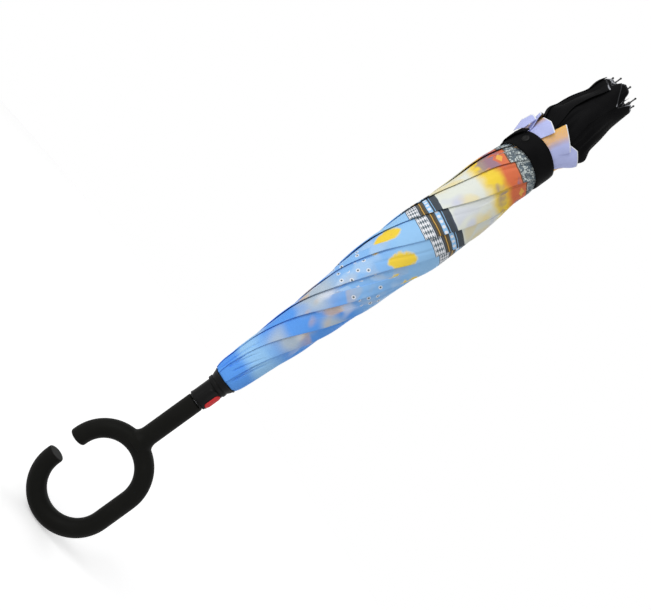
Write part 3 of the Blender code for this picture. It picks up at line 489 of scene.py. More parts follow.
class PrintDesign:
    """A generic ring design in soft dyes, drawn on the open canopy's own disc."""

    def __init__(self, graph, inks):
        self.graph, self.inks, self.tone = graph, inks, inks.sky
        self.cloth = graph.attribute("cloth")
        across, along_y, self.hem = graph.attribute("disc").parts()
        self.disc = graph.join(across, along_y)
        self.blur = graph.grain(self.disc, 17.0, 3.0)
        self.fine = graph.grain(self.disc, 90.0, 3.0)
        self.ragged = graph.grain(self.disc, 85.0, 4.0, 0.7) - 0.5
        plain_ring = (across * across + along_y * along_y) ** 0.5
        self.turn = along_y.math("ARCTAN2", across)
        self.aside = self.turn.repeat(RIB_STEP) * plain_ring
        self.ring = plain_ring + self.aside.low(0.045) * 0.17
        self.crisp = self.ring + 0.0015 * (self.fine - 0.5)

    def ink(self, share, colour):
        """Lays an ink, given by its name or mixed, over what is there."""
        if isinstance(colour, str):
            colour = getattr(self.inks, colour)
        self.tone = self.graph.mix(share, self.tone, colour)

    def blotches(self, x, y, scale, detail=1.0):
        """Noise of its own on the disc."""
        return self.graph.grain(self.disc.plus((x, y, 0.0)), scale, detail)

    def off_ray(self, count, turned=0.0):
        """How far a point is from between the nearest two of a count of rays round the disc."""
        return (self.turn + turned).repeat(math.tau / count) * self.ring

    def ground(self):
        """Sky, pale sky, cream, yellow and brick with soft borders, and clouds on them."""
        soft = self.ring + 0.026 * (self.blur - 0.5) + 0.006 * (self.fine - 0.5)
        self.ink(soft.step(0.020, 0.035), "pale_sky")
        self.ink(soft.step(0.045, 0.075), "sky")
        patches = self.blotches(3.1, 1.7, 21.0).step(0.47, 0.66)
        self.ink(patches * soft.band(0.060, 0.175, 0.02) * 0.8, "mist")
        glow = self.blotches(9.1, 4.7, 34.0).step(0.52, 0.66)
        self.ink(glow * soft.band(0.080, 0.270, 0.02) * 0.6, "seam")
        warm = self.blotches(5.3, 8.7, 31.0).step(0.56, 0.66)
        self.ink(warm * soft.band(0.095, 0.250, 0.02) * 0.5, "amber")
        self.ink(soft.step(0.150, 0.185) * 0.7, "pale_sky")
        self.ink(soft.step(0.225, 0.255), "pale_sky")
        self.ink(self.crisp.step(0.3150, 0.3160), "cream")
        self.ink(soft.step(0.362, 0.374), "yellow")
        self.ink(soft.step(0.380, 0.392), "brick")
        clouds = self.blotches(7.0, 2.0, 34.0, 2.0).step(0.46, 0.55)
        self.ink(clouds * soft.band(0.374, 0.402, 0.005) * 0.8, "plum")

    def drops(self):
        """Rows of small rings on the sky."""
        pitch = 0.0105
        row = self.ring.repeat(pitch)
        seat = self.off_ray(96, self.ring.cell(pitch) * 0.11)
        drop = (row * row + seat * seat) ** 0.5
        sown = (self.ring.band(0.1680, 0.2100, 0.0005)
                * self.graph.grain(self.disc, 26.0, 1.0).step(0.46, 0.48))
        self.ink(drop.step(0.0027, 0.0020) * sown * 0.9, "seam")
        self.ink(drop.step(0.0014, 0.0009) * sown, "slate")

    def petals(self):
        """Pointed yellow petals with an amber rib, and a bud between two of them."""
        reach = abs(self.ring - 0.243 + 0.010 * (self.blur - 0.5)) / 0.018
        width = 0.0096 * (1.0 - (reach * reach).low(0.999)) + 0.0002
        edge = self.off_ray(30) - width + 0.016 * self.ragged
        petal = edge.step(0.0020, -0.0030) * reach.step(1.05, 0.75)
        self.ink(petal.step(0.0, 0.4) * 0.4, "cream")
        self.ink(petal, "yellow")
        self.ink(petal * self.ragged.step(0.06, 0.18) * 0.5, "amber")
        aside = self.off_ray(30, math.tau / 60)
        bud = (aside * aside + (self.ring - 0.219) ** 2.0) ** 0.5
        self.ink(bud.step(0.0046, 0.0034), "mist")
        self.ink(bud.step(0.0026, 0.0018), "amber")

    def rings(self):
        """A pale ring of small diamonds, brown, pale with beads, then navy."""
        diamond = self.off_ray(264) / 0.0033 + abs(self.ring.repeat(0.0052) - 0.0013) / 0.0013
        aside = self.off_ray(300)
        bead = (aside * aside + (self.ring - 0.3025) ** 2.0) ** 0.5
        motifs = {"diamonds": diamond.step(1.1, 0.9), "beads": bead.step(0.0022, 0.0016)}
        for start, end, ink, motif in PRINT_RINGS:
            share = self.crisp.band(start, end, 0.0002)
            self.ink(share * motifs[motif] if motif else share, ink)

    def leaves(self):
        """Faint lavender and yellow leaves and veils on the cream."""
        blade = abs(self.ring - 0.341) / 0.019
        edge = 0.0095 * (1.0 - (blade * blade).low(0.999)) + 0.0001
        inside = (self.off_ray(40) / edge + self.ragged).step(1.5, 0.4) * blade.step(1.0, 0.6)
        tint = self.graph.mix(self.blur.step(0.46, 0.56), self.inks.lavender, self.inks.yellow)
        self.ink(inside * 0.35, tint)
        veil = self.blotches(2.3, 6.1, 27.0)
        pale = self.ring.band(0.3165, 0.3600, 0.004)
        self.ink(veil.step(0.52, 0.64) * pale * 0.30, "lavender")
        self.ink(veil.step(0.46, 0.36) * pale * 0.30, "yellow")

    def lozenges(self):
        """Brick lozenges with an amber middle."""
        lozenge = self.off_ray(60) / 0.0130 + abs(self.ring - 0.4020) / 0.0075
        self.ink(lozenge.step(1.04, 0.96) * 0.85, "brick")
        self.ink(lozenge.step(0.56, 0.48) * 0.85, "amber")

    def tiles(self):
        """A ring of small tiles beside the strap."""
        graph, inks = self.graph, self.inks
        place = graph.join(self.turn * 150.0, self.ring * 420.0)
        shade = graph.cells(place, 1.0, output="Color").parts()[0]
        grout = graph.cells(place, 1.0, "DISTANCE_TO_EDGE").step(0.10, 0.02)
        paving = graph.mix(shade.step(0.25, 0.70), inks.slate, inks.mist)
        self.ink(self.crisp.step(0.4095, 0.4105), graph.mix(grout, paving, inks.navy))
        self.ink(self.crisp.band(0.4088, 0.4100, 0.0003), "brown")

    def border(self):
        """By the hem: lavender along the fold edge, then peach, plum and amber; a white tape."""
        graph, inks = self.graph, self.inks
        odd = self.cloth.parts()[2].math("FLOORED_MODULO", 2.0)
        off = self.aside + 0.010 * (self.blur - 0.5) - 0.011 * odd
        tone = graph.mix(off.step(0.0060, 0.0175), inks.lavender, inks.peach)
        tone = graph.mix(off.band(0.0095, 0.0125, 0.0035) * 0.30, tone, inks.plum)
        tone = graph.mix(off.step(0.0175, 0.0290), tone, inks.amber)
        tone = graph.mix(off.step(0.0330, 0.0420), tone, inks.lavender)
        self.ink(self.crisp.step(0.4385, 0.4395), tone)
        self.ink(self.hem.step(0.0010, 0.0008), "seam")


def print_finish(name, inks):
    """The printed cloth, a little faded, with its weave."""
    graph = material_graph(name)
    design = PrintDesign(graph, inks)
    for lay in (design.ground, design.drops, design.petals, design.rings, design.leaves,
                design.lozenges, design.tiles, design.border):
        lay()
    faded = graph.mix(0.02 + 0.06 * design.blur, design.tone, inks.cream)
    return graph.finish(Base_Color=faded, Roughness=0.50 + 0.14 * design.fine,
                        Specular_IOR_Level=0.15,
                        Normal=graph.bump(weave(design.cloth), 0.08, 0.00005))


# Modelling helpers


def piece(name, mesh, finish):
    """A finished mesh as an object of the scene."""
    obj = bpy.data.objects.new(name, mesh)
    bpy.context.scene.collection.objects.link(obj)
    obj.data.materials.clear()
    if finish is not None:
        obj.data.materials.append(finish)
    return obj


def shaded(mesh, degrees=40.0):
    """Smooth shading with sharp edges kept."""
    mesh.shade_smooth()
    mesh.set_sharp_from_angle(angle=math.radians(degrees))
    return mesh


def to_mesh(name, bm, degrees=40.0):
    mesh = bpy.data.meshes.new(name)
    bm.to_mesh(mesh)
    bm.free()
    return shaded(mesh, degrees)


def baked(obj):
    """The mesh that an object's modifiers make; the object itself is removed."""
    bpy.context.view_layer.update()
    graph = bpy.context.evaluated_depsgraph_get()
    mesh = bpy.data.meshes.new_from_object(obj.evaluated_get(graph), depsgraph=graph,
                                           preserve_all_data_layers=True)
    bpy.data.objects.remove(obj, do_unlink=True)
    return mesh


def turned(name, outline, steps=96, matrix=None):
    """A turned mesh: radius and height, spun round Z. The outline is closed unless it meets Z."""
    bm = bmesh.new()
    corners = [bm.verts.new((radius, 0.0, height)) for radius, height in outline]
    edges = [bm.edges.new(pair) for pair in zip(corners, corners[1:])]
    if outline[0][0] > 0.0:
        edges.append(bm.edges.new((corners[-1], corners[0])))
    bmesh.ops.spin(bm, geom=corners + edges, cent=(0, 0, 0), axis=(0, 0, 1), dvec=(0, 0, 0),
                   angle=math.tau, steps=steps, use_merge=True, use_duplicate=False)
    bmesh.ops.remove_doubles(bm, verts=bm.verts, dist=MERGE_DISTANCE)
    bmesh.ops.recalc_face_normals(bm, faces=bm.faces)
    if matrix is not None:
        bmesh.ops.transform(bm, matrix=matrix, verts=bm.verts)
    return to_mesh(name, bm)


def rounded(corners, radius, steps=4):
    """An outline with its corners rounded; corners are (x, y) or (x, y, own radius)."""
    made = []
    count = len(corners)
    for k, corner in enumerate(corners):
        own = corner[2] if len(corner) > 2 else radius
        here = Vector(corner[:2])
        before = Vector(corners[k - 1][:2]) - here
        after = Vector(corners[(k + 1) % count][:2]) - here
        own = min(own, before.length / 2, after.length / 2)
        if own < 1e-6:
            made.append(tuple(here))
            continue
        start, end = here + before.normalized() * own, here + after.normalized() * own
        for n in range(steps + 1):
            t = n / steps
            made.append(tuple(start * (1 - t) ** 2 + here * 2 * t * (1 - t) + end * t * t))
    return made


def bevel(bm, edges, width, segments):
    bmesh.ops.bevel(bm, geom=edges, offset=width, offset_type="OFFSET", segments=segments,
                    profile=0.5, affect="EDGES", clamp_overlap=True, material=-1)


def refined(node, name, finish, edge, body, sharp=35.0):
    """A CAD node's shape with its corners rounded, standing in for the node."""
    bm = bmesh.new()
    bm.from_mesh(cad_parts[node].data)
    bmesh.ops.remove_doubles(bm, verts=bm.verts, dist=MERGE_DISTANCE)
    inner = [e for e in bm.edges if len(e.link_faces) == 2]
    flat = [e for e in inner if e.calc_face_angle(0.0) < 0.002]
    bmesh.ops.dissolve_edges(bm, edges=flat, use_verts=True)
    bevel(bm, [e for e in bm.edges
               if len(e.link_faces) == 2 and e.calc_face_angle(0.0) > math.radians(sharp)], edge, 2)
    made = piece(name, to_mesh(name, bm, sharp), finish)
    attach(made, body)
    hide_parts(node)


def smoothed(rows, share):
    """A table's value at a share, on a smooth curve through its rows."""
    share = min(max(share, rows[0][0]), rows[-1][0])
    k = 0
    while k < len(rows) - 2 and share > rows[k + 1][0]:
        k += 1
    (x0, y0), (x1, y1) = rows[k], rows[k + 1]
    before = rows[k - 1] if k else (x0, y0)
    after = rows[k + 2] if k + 2 < len(rows) else (x1, y1)
    slope0 = (y1 - before[1]) / (x1 - before[0])
    slope1 = (after[1] - y0) / (after[0] - x0)
    span = x1 - x0
    t = (share - x0) / span
    return ((2 * t ** 3 - 3 * t ** 2 + 1) * y0 + (t ** 3 - 2 * t ** 2 + t) * span * slope0
            + (-2 * t ** 3 + 3 * t ** 2) * y1 + (t ** 3 - t ** 2) * span * slope1)


def ease(value, start, end):
    """0 at start and 1 at end, smoothly between."""
    t = min(max((value - start) / (end - start), 0.0), 1.0)
    return t * t * (3 - 2 * t)


def uneased(share):
    """Where between 0 and 1 ease reaches a share."""
    return 0.5 - math.sin(math.asin(1.0 - 2.0 * share) / 3.0)


def rib_angle(index):
    return index * RIB_STEP


def cloth_mesh(name, columns, rows, lay, sharp=60.0):
    """A grid of cloth. lay(u, v) gives a point, where it is on the open canopy's disc with its
    distance from the hem, and where it is on the cut cloth; the mesh keeps all three."""
    bm = bmesh.new()
    bmesh.ops.create_grid(bm, x_segments=columns, y_segments=rows, size=0.5)
    kept = {"disc": [], "cloth": []}
    for vertex in bm.verts:
        vertex.co, disc, cloth = lay(vertex.co.x + 0.5, vertex.co.y + 0.5)
        kept["disc"].extend(disc)
        kept["cloth"].extend(cloth)
    mesh = to_mesh(name, bm, sharp)
    for key, numbers in kept.items():
        mesh.attributes.new(key, "FLOAT_VECTOR", "POINT").data.foreach_set("vector", numbers)
    return mesh


def on_shaft(radius, turn, z, aside=0.0):
    """The point at a radius, angle and height, moved aside along X."""
    return radius * math.cos(turn) + aside, radius * math.sin(turn), z


def modify(obj, name, kind, **settings):
    """Adds a modifier with its settings."""
    modifier = obj.modifiers.new(name, kind)
    for key, value in settings.items():
        setattr(modifier, key, value)
    return obj


def thicken(obj, thickness, offset=-1.0):
    """Gives a sheet its thickness, inwards from the face that shows unless told otherwise."""
    return modify(obj, "thickness", "SOLIDIFY", thickness=thickness, offset=offset,
                  use_even_offset=False)


def squash_to_rib(obj, index):
    """Gives a furled piece its own copy of its mesh; the outward direction of its rib is worked out
    but not used.
    """
    outward = Vector(on_shaft(1.0, rib_angle(index), 0.0))
    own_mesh(obj)


# The furled cloth


def winding(low, high, slope, radius, start=0.0, steps=120):
    """How far the fold edges have turned round the shaft at each height, as a table."""
    rows, turn = [(low, start)], start
    for n in range(steps):
        z = low + (high - low) * (n + 0.5) / steps
        turn += slope(z) * (high - low) / steps / radius(z)
        rows.append((low + (high - low) * (n + 1) / steps, turn))
    return rows


def along(rows, place):
    """A value from a table with even steps."""
    share = (place - rows[0][0]) / (rows[-1][0] - rows[0][0]) * (len(rows) - 1)
    k = min(max(int(share), 0), len(rows) - 2)
    return rows[k][1] + (rows[k + 1][1] - rows[k][1]) * (share - k)


class Furl:
    """How one layer of cloth is furled: its radius, fold edges and dents at each height."""

    columns = ()
    seed = 0.0
    # Each panel's own turn in degrees, above the strap and at the hem, and the heights over
    # which it takes up the first and passes to the second
    own_turns = ((0, 0),) * RIB_COUNT
    own_start, own_change = (0.588, 0.603), (0.602, 0.626)

    def __init__(self, canopy):
        self.canopy = canopy
        self.creases = [[] for _ in range(RIB_COUNT)]
        self.rows = {}

    def fold(self, index, z):
        """Angle of a panel's fold edge, with its own wander away from the collar."""
        stray = noise.noise(Vector((index * 7.31 + self.seed, z * 5.0, 0.5)))
        stray += 0.4 * noise.noise(Vector((index * 3.17, z * 15.0, self.seed)))
        grown = ease(z, self.foot, self.foot + 0.12)
        above, at_hem = self.own_turns[index]
        own = above + (at_hem - above) * ease(z, *self.own_change)
        return (rib_angle(index) + self.canopy.lead + along(self.turns, z) + self.lay(z)
                + grown * self.canopy.stray * 1.5 * stray
                + math.radians(own) * ease(z, *self.own_start))

    def at(self, z):
        """The fold edges, radius and fold step of a row, worked out once for each height."""
        if z not in self.rows:
            self.rows[z] = ([self.fold(index, z) for index in range(RIB_COUNT)],
                            self.radius(z), self.step(z))
        return self.rows[z]

    def dent(self, folds, reach, theta, z):
        """How far the cloth lies below its round form at an angle and height."""
        gap, owner = math.tau, 0
        for index, edge in enumerate(folds):
            ahead = (edge - theta) % math.tau
            if ahead < gap:
                gap, owner = ahead, index
        span = (folds[owner] - folds[owner - 1]) % math.tau
        share = min(gap / span, 1.0)
        hollow = 0.55 + 0.9 * noise.noise(Vector((owner * 2.7, z * 9.0, self.seed + 4.0)))
        depth = self.canopy.facet * hollow * math.sin(math.pi * share)
        for z0, z1, share0, share1, deep, wide in self.creases[owner]:
            if z0 < z < z1:
                t = (z - z0) / (z1 - z0)
                off = (share - share0 - (share1 - share0) * t) * span * reach / wide
                if abs(off) < 3.5:
                    fade = ease(t, 0.0, 0.12) * (1 - ease(t, 0.45, 1.0))
                    depth += deep * fade * (math.exp(-off * off)
                                            - 0.4 * math.exp(-(off - 1.7) ** 2))
        return depth

    def crease(self, rng, count, foot, height, deep, wide, lean=0.2):
        """Adds creases to every panel, each with its own place, length, depth and width."""
        for own in self.creases:
            for _ in range(count):
                start, share = rng.uniform(*foot), rng.uniform(0.1, 0.9)
                own.append((start, start + rng.uniform(*height), share,
                            share + rng.uniform(-lean, lean), rng.uniform(*deep),
                            rng.uniform(*wide)))


class PrintFurl(Furl):
    """The printed layer, worn outside when the umbrella is closed."""

    columns = (("hidden", 16), ("visible", 12), ("far", 10), ("tuck", 1), ("near", 18),
               ("roll", 6), ("under", 4), ("back", 14))
    seed = 2.0
    flat, area = (0.398, 0.481), 0.0957
    settles = 0.0010
    # Heights over which the strap draws the folds flat and lets them go, a panel dives under
    # the one before it, and the second folds fade before the narrow rings and come back
    strap_draws, strap_frees = (0.560, 0.585), (0.612, 0.632)
    dives_at, dive_depth = (0.600, 0.626), 0.0095
    tuck_fades, tuck_returns = (0.395, 0.425), (0.505, 0.530)
    # How far behind its fold edge a panel's hem is highest, where it isn't 36 mm, and its fall
    peaks = {5: (0.0150, 0.0), 7: (0.0165, 1.0)}
    own_turns = ((0, 0), (0, 0), (0, 0), (0, 0), (3, 3), (-10, 3), (-6, 0), (-28, -18))
    # Each panel's own shift of the hem, how far its corner stands out, and from what height
    corners = ((0.000, 0.0020, 0.610), (0.001, 0.0020, 0.610), (-0.003, 0.0030, 0.610),
               (-0.009, 0.0080, 0.597), (0.0005, 0.0048, 0.604), (-0.0042, 0.0038, 0.606),
               (-0.0015, 0.0024, 0.606), (0.0000, 0.0062, 0.598))

    def __init__(self, canopy):
        super().__init__(canopy)
        self.foot, self.top, self.bend_from = canopy.foot, canopy.top, canopy.hem - 0.030
        self.turns = winding(self.foot, self.top, self.slope, self.radius)
        rng = random.Random(23)
        self.crease(rng, 3, (self.foot - 0.004, self.foot + 0.012), (0.035, 0.085),
                    (0.0008, 0.0016), (0.0008, 0.0014), 0.35)
        self.crease(rng, 3, (0.24, 0.50), (0.05, 0.13), (0.0002, 0.0005), (0.0012, 0.0026))
        self.crease(rng, 3, (0.540, 0.565), (0.055, 0.080), (0.0003, 0.0008), (0.0010, 0.0018),
                    0.08)

    def slope(self, z):
        return self.canopy.wind * min(1.0, (z - self.foot) / self.canopy.wind_ease)

    def radius(self, z):
        share = (z - self.canopy.foot) / (self.canopy.top - self.canopy.foot)
        return self.canopy.radius * smoothed(PRINT_PROFILE, share)

    def lay(self, z):
        return math.radians(smoothed(PRINT_LAY, z))

    def step(self, z):
        strap = ease(z, *self.strap_draws) * (1 - ease(z, *self.strap_frees))
        return self.canopy.step * (0.55 + 0.45 * ease(z, self.foot, 0.30)) * (1 - 0.4 * strap)

    def dive(self, z):
        return self.dive_depth * ease(z, *self.dives_at)

    def tuck(self, index, z):
        """Share of the visible cloth at which a second fold lies, and its height."""
        place = 0.52 + 0.30 * noise.noise(Vector((11.0 + index * 4.7, z * 4.0, 0.0)))
        grown = ease(noise.noise(Vector((11.0 + index * 4.7, 3.0, z * 2.6))) + 0.30, 0.0, 0.5)
        between = max(1 - ease(z, *self.tuck_fades), ease(z, *self.tuck_returns))
        return place, self.canopy.tuck * grown * between * ease(z, 0.28, 0.36) * (
            1 - ease(z, 0.59, 0.61))

    def hem(self, index, theta, behind):
        peak, fall = self.peaks.get(index, (0.036, 0.0))
        rise = max(min(behind, peak) - fall * max(behind - peak, 0.0), -0.012)
        return self.canopy.hem + self.corners[index][0] + self.canopy.hem_slope * rise

    def out(self, index, z, behind):
        start = self.corners[index][2]
        return self.corners[index][1] * ease(z, start, start + 0.028) * (
            1.0 - ease(behind, 0.0, 0.024))

    def visible(self, z):
        return math.radians(58 - 8 * ease(z, 0.600, 0.630))


class LiningFurl(Furl):
    """The black layer, inside the printed one and past its hem."""

    columns = (("hidden", 18), ("visible", 8), ("near", 26), ("roll", 6), ("under", 4),
               ("back", 18))
    seed = 9.0
    flat, area = (0.436, 0.527), 0.115
    settles = -0.0002
    # Each panel's hem at its fold edge, and the hem's slope behind it
    corners = ((0.700, 0.55), (0.698, 0.60), (0.702, 0.45), (0.707, 0.60),
               (0.711, 0.50), (0.701, 0.50), (0.6965, 1.00), (0.709, 0.70))
    # Places where the cloth bulges: angle, height, half width in degrees, half height, rise
    bulges = ((-2, 0.640, 24, 0.009, 0.0080), (-172, 0.703, 28, 0.011, 0.0038),
              (-176, 0.643, 26, 0.008, 0.0046), (-92, 0.716, 12, 0.006, 0.0015))

    def __init__(self, canopy, inner):
        super().__init__(canopy)
        self.foot, self.top, self.bend_from = LINING_PROFILE[0][0], canopy.lining_hem, 0.672
        self.inner = inner
        start = along(inner.turns, self.foot)
        self.turns = winding(self.foot, self.top, self.slope, inner.radius, start)
        rng = random.Random(41)
        self.crease(rng, 4, (0.618, 0.665), (0.03, 0.08), (0.0004, 0.0013), (0.0014, 0.0032), 0.35)

    def slope(self, z):
        return self.canopy.wind + (self.canopy.lining_wind - self.canopy.wind) * ease(z, 0.60, 0.62)

    def radius(self, z):
        return smoothed(LINING_PROFILE, z)

    def lay(self, z):
        return math.radians(smoothed(PRINT_LAY, z)) + self.canopy.lining_lay * ease(z, 0.612, 0.66)

    def step(self, z):
        return 0.0012 + 0.0006 * ease(z, 0.64, 0.70)

    def dive(self, z):
        return 0.0012 * ease(z, 0.640, 0.680)

    def tuck(self, index, z):
        return 1.0, 0.0

    def hem(self, index, theta, behind):
        fold, slope = self.corners[index]
        held = smoothed(LINING_HELD, (math.degrees(theta) + 180.0) % 360.0 - 180.0)
        return min(fold + slope * behind, held) + 0.0010 * noise.noise(
            Vector((index * 3.3, behind * 160.0, 0.0)))

    def out(self, index, z, behind):
        wave = noise.noise(Vector((index * 5.1, behind * 70.0, z * 30.0)))
        bulge = 0.0016 * wave * ease(z, 0.640, 0.670)
        for turn, level, wide, tall, rise in self.bulges:
            theta = self.fold(index, z) - behind / self.radius(z)
            off = (theta - math.radians(turn) + math.pi) % math.tau - math.pi
            bulge += rise * math.exp(-(off / math.radians(wide)) ** 2 - ((z - level) / tall) ** 2)
        return bulge

    def visible(self, z):
        return math.radians(62)


def column_places(columns):
    """Each column's section and its share of it, from one rib across the cloth to the next."""
    places = [(columns[0][0], 0.0)]
    for kind, count in columns:
        places += [(kind, (n + 1) / count) for n in range(count)]
    return places


def lie(furl, index, kind, t, z):
    """Where a point of a furled panel lies at a height: its angle, radius, the cloth between it
    and the fold edge, and the cloth hidden in a second fold."""
    folds, reach, step = furl.at(z)
    wrap = folds[index] - rib_angle(index)
    visible = furl.visible(z)
    tuck, tuck_step = furl.tuck(index, z)
    roll = step * furl.canopy.roll
    crossing = visible * tuck
    lip = TUCK_LIP / reach
    dived = visible + DIVE_ARC
    drop, shift = 0.0, 0.0
    if kind in ("hidden", "visible", "far"):
        shift = furl.canopy.tuck_shift * tuck_step / furl.canopy.tuck
        drop = tuck_step
    if kind == "hidden":
        delta = wrap + (dived - wrap) * t
    elif kind == "visible":
        delta = dived + (visible - dived) * t
    elif kind == "far":
        delta = visible + (crossing - visible) * t
    elif kind == "tuck":
        delta = crossing - lip
    elif kind == "near":
        delta = (crossing - lip) * (1 - t)
    elif kind == "roll":
        delta = -math.sin(math.pi * t) * roll / 2 / reach
        drop = roll * (1 - math.cos(math.pi * t)) / 2
    elif kind == "under":
        delta, drop = UNDER_ARC * t, roll
    else:
        delta, drop = UNDER_ARC + (max(wrap - RIB_STEP, 2 * UNDER_ARC) - UNDER_ARC) * t, roll
    radius = reach - step * min(delta, visible) / RIB_STEP - drop
    if delta > visible:
        radius -= furl.dive(z) * ease(delta, visible, dived)
        floor = furl.canopy.rib_cover + (z - furl.canopy.apex) * furl.canopy.rib_splay
        sunk = ease((delta - visible) / max(wrap - visible, 0.1), 0.0, 1.0)
        radius -= sunk * max(radius - floor, 0.0)
    theta = folds[index] - delta
    radius -= furl.dent(folds, reach, theta, z)
    return theta, radius, delta * reach, shift


def furled_panel(furl, index):
    """One panel, furled: from its rib, under the panels before it, out to its fold edge, round
    the fold and back to the next rib."""
    places = column_places(furl.columns)

    def lay(u, v):
        kind, t = places[round(u * (len(places) - 1))]
        z = furl.foot + v * (furl.top - furl.foot)
        theta, radius, behind, shift = lie(furl, index, kind, t, z)
        hem = furl.hem(index, theta, max(behind, 0.0))
        if z > furl.bend_from:
            share = (z - furl.bend_from) / (furl.top - furl.bend_from)
            z = furl.bend_from + share * (hem - furl.bend_from)
            theta, radius, behind, shift = lie(furl, index, kind, t, z)
        radius += furl.out(index, z, max(behind, 0.0))
        down = max(z - furl.canopy.apex, 0.001)
        side = down * HALF_GORE - abs(behind) - shift
        if kind in ("roll", "under", "back"):
            side = down * HALF_GORE + max(behind, 0.0)
        turn = rib_angle(index) + math.atan2(max(side, 0.0), down)
        return (on_shaft(radius, theta, z, smoothed(SWAY, z)),
                on_shaft(math.hypot(side, down), turn, hem - z), (down, side, index))

    return cloth_mesh("panel", len(places) - 1, 250, lay)


def furled_layer(furl, name, finish, stands_for):
    """The eight panels of a layer, each riding on its rib."""
    for index in range(RIB_COUNT):
        panel = piece(f"{name}_{index}", furled_panel(furl, index), finish)
        thicken(panel, furl.canopy.thickness)
        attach(panel, f"rib_{index}")
        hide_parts(f"{stands_for}_{index}")
        squash_to_rib(panel, index)


def open_layer(name, finish, canopy, hem, foot_off, tip_off):
    """Eight narrow strips, each folded beside a rib, whose cloth keeps its place on the whole panel of
    the open canopy.

    hem is how far a panel's hem is from its apex along its middle line; the two offsets say how
    far a strip lies outside the rib's line at its foot and at its tip."""
    for index in range(RIB_COUNT):
        radial = Vector(on_shaft(1.0, rib_angle(index), 0.0))
        side = Vector((-radial.y, radial.x, 0.0))

        def lay(weight, v):
            share = 0.03 + 0.97 * v
            whole = hem / math.cos(RIB_STEP / 2 - RIB_STEP * weight)
            far = share * whole
            off = foot_off + (tip_off - foot_off) * share ** 8
            across = canopy.strip * uneased(weight)
            place = (radial * (RIB_HINGE_RADIUS + far * canopy.rib_splay + off) + side * across
                     + Vector((0.0, 0.0, canopy.apex + far)))
            turn = RIB_STEP * weight
            return (place, on_shaft(far, (index + weight) * RIB_STEP, whole - far),
                    on_shaft(far, turn, index))

        mesh = cloth_mesh("strip", 10, 48, lay)
        mesh = baked(thicken(piece("strip", mesh, finish), canopy.thickness))
        strip = piece(f"{name}_{index}", mesh, finish)
        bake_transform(strip)


# Operators


class UMBRELLA_OT_handle(bpy.types.Operator):
    """Build the C-shaped handle with its straight stub"""
    bl_idname = "umbrella.handle"
    bl_label = "Handle"

    def execute(self, context):
        sizes = context.scene.umbrella_handle
        bar = piece("handle_bar", self.bar(sizes), None)
        stub = piece("handle_stub", self.stub(sizes), None)
        modify(bar, "join", "BOOLEAN", operation="UNION", object=stub, solver="EXACT")
        modify(bar, "skin", "REMESH", mode="VOXEL",
               voxel_size=sizes.voxel * 1.0)
        modify(bar, "calm", "SMOOTH", factor=0.5, iterations=8)
        mesh = baked(bar)
        bpy.data.objects.remove(stub, do_unlink=True)
        mesh.shade_smooth()
        made = piece("handle_skin", mesh, rubber_finish("soft_rubber", sizes.rubber))
        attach(made, "root")
        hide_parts("c_handle")
        return {"FINISHED"}

    def bar(self, sizes):
        """The bar: down from the lower end, round the foot, up the far side, over the top."""
        sides = 64
        bm = bmesh.new()
        ring = bmesh.ops.create_circle(bm, cap_ends=False, segments=sides, radius=sizes.bar)["verts"]
        place = Matrix.Translation((-sizes.bend, 0.0, sizes.mouth_foot))
        bmesh.ops.transform(bm, matrix=place, verts=ring)
        front = self.pull(bm, list(bm.edges), -(sizes.straight + sizes.mouth_foot))
        front = self.bend(bm, front, -sizes.straight)
        front = self.pull(bm, front, 2 * sizes.straight)
        front = self.bend(bm, front, sizes.straight)
        self.pull(bm, front, sizes.mouth_top - sizes.straight)
        bmesh.ops.remove_doubles(bm, verts=bm.verts, dist=MERGE_DISTANCE)
        bmesh.ops.holes_fill(bm, edges=bm.edges, sides=sides)
        bmesh.ops.recalc_face_normals(bm, faces=bm.faces)
        rims = [e for e in bm.edges if e.calc_face_angle(0.0) > math.radians(60)]
        bevel(bm, rims, sizes.end_round, 4)
        return to_mesh("handle_bar", bm)

    @staticmethod
    def stub(sizes):
        """The straight stub with its flared root and rounded top edge."""
        root = sizes.straight + sizes.bend
        flare = [(sizes.stub + sizes.root_flare * (1 - n / 8) ** 2.4,
                  root + sizes.bar * 0.78 + sizes.root_height * n / 8) for n in range(9)]
        outline = [(0.0, root), (flare[0][0], root), *flare]
        outline += rounded([(sizes.stub, sizes.stub_top - 0.004), (sizes.stub, sizes.stub_top, 0.0009),
                            (0.0, sizes.stub_top)], 0.0)
        return turned("handle_stub", outline, 64)

    @staticmethod
    def pull(bm, edges, rise):
        """Pulls the end of the bar straight along Z."""
        drawn = bmesh.ops.extrude_edge_only(bm, edges=edges)["geom"]
        verts = [v for v in drawn if isinstance(v, bmesh.types.BMVert)]
        bmesh.ops.translate(bm, vec=(0.0, 0.0, rise), verts=verts)
        return [e for e in drawn if isinstance(e, bmesh.types.BMEdge)]

    @staticmethod
    def bend(bm, edges, level):
        """Bends the end of the bar through half a turn round an axis along Y."""
        verts = {vert for edge in edges for vert in edge.verts}
        spun = bmesh.ops.spin(bm, geom=[*verts, *edges], cent=(0.0, 0.0, level),
                              axis=(0.0, 1.0, 0.0), dvec=(0, 0, 0), angle=-math.pi, steps=48,
                              use_merge=False, use_duplicate=False)["geom_last"]
        return [e for e in spun if isinstance(e, bmesh.types.BMEdge)]


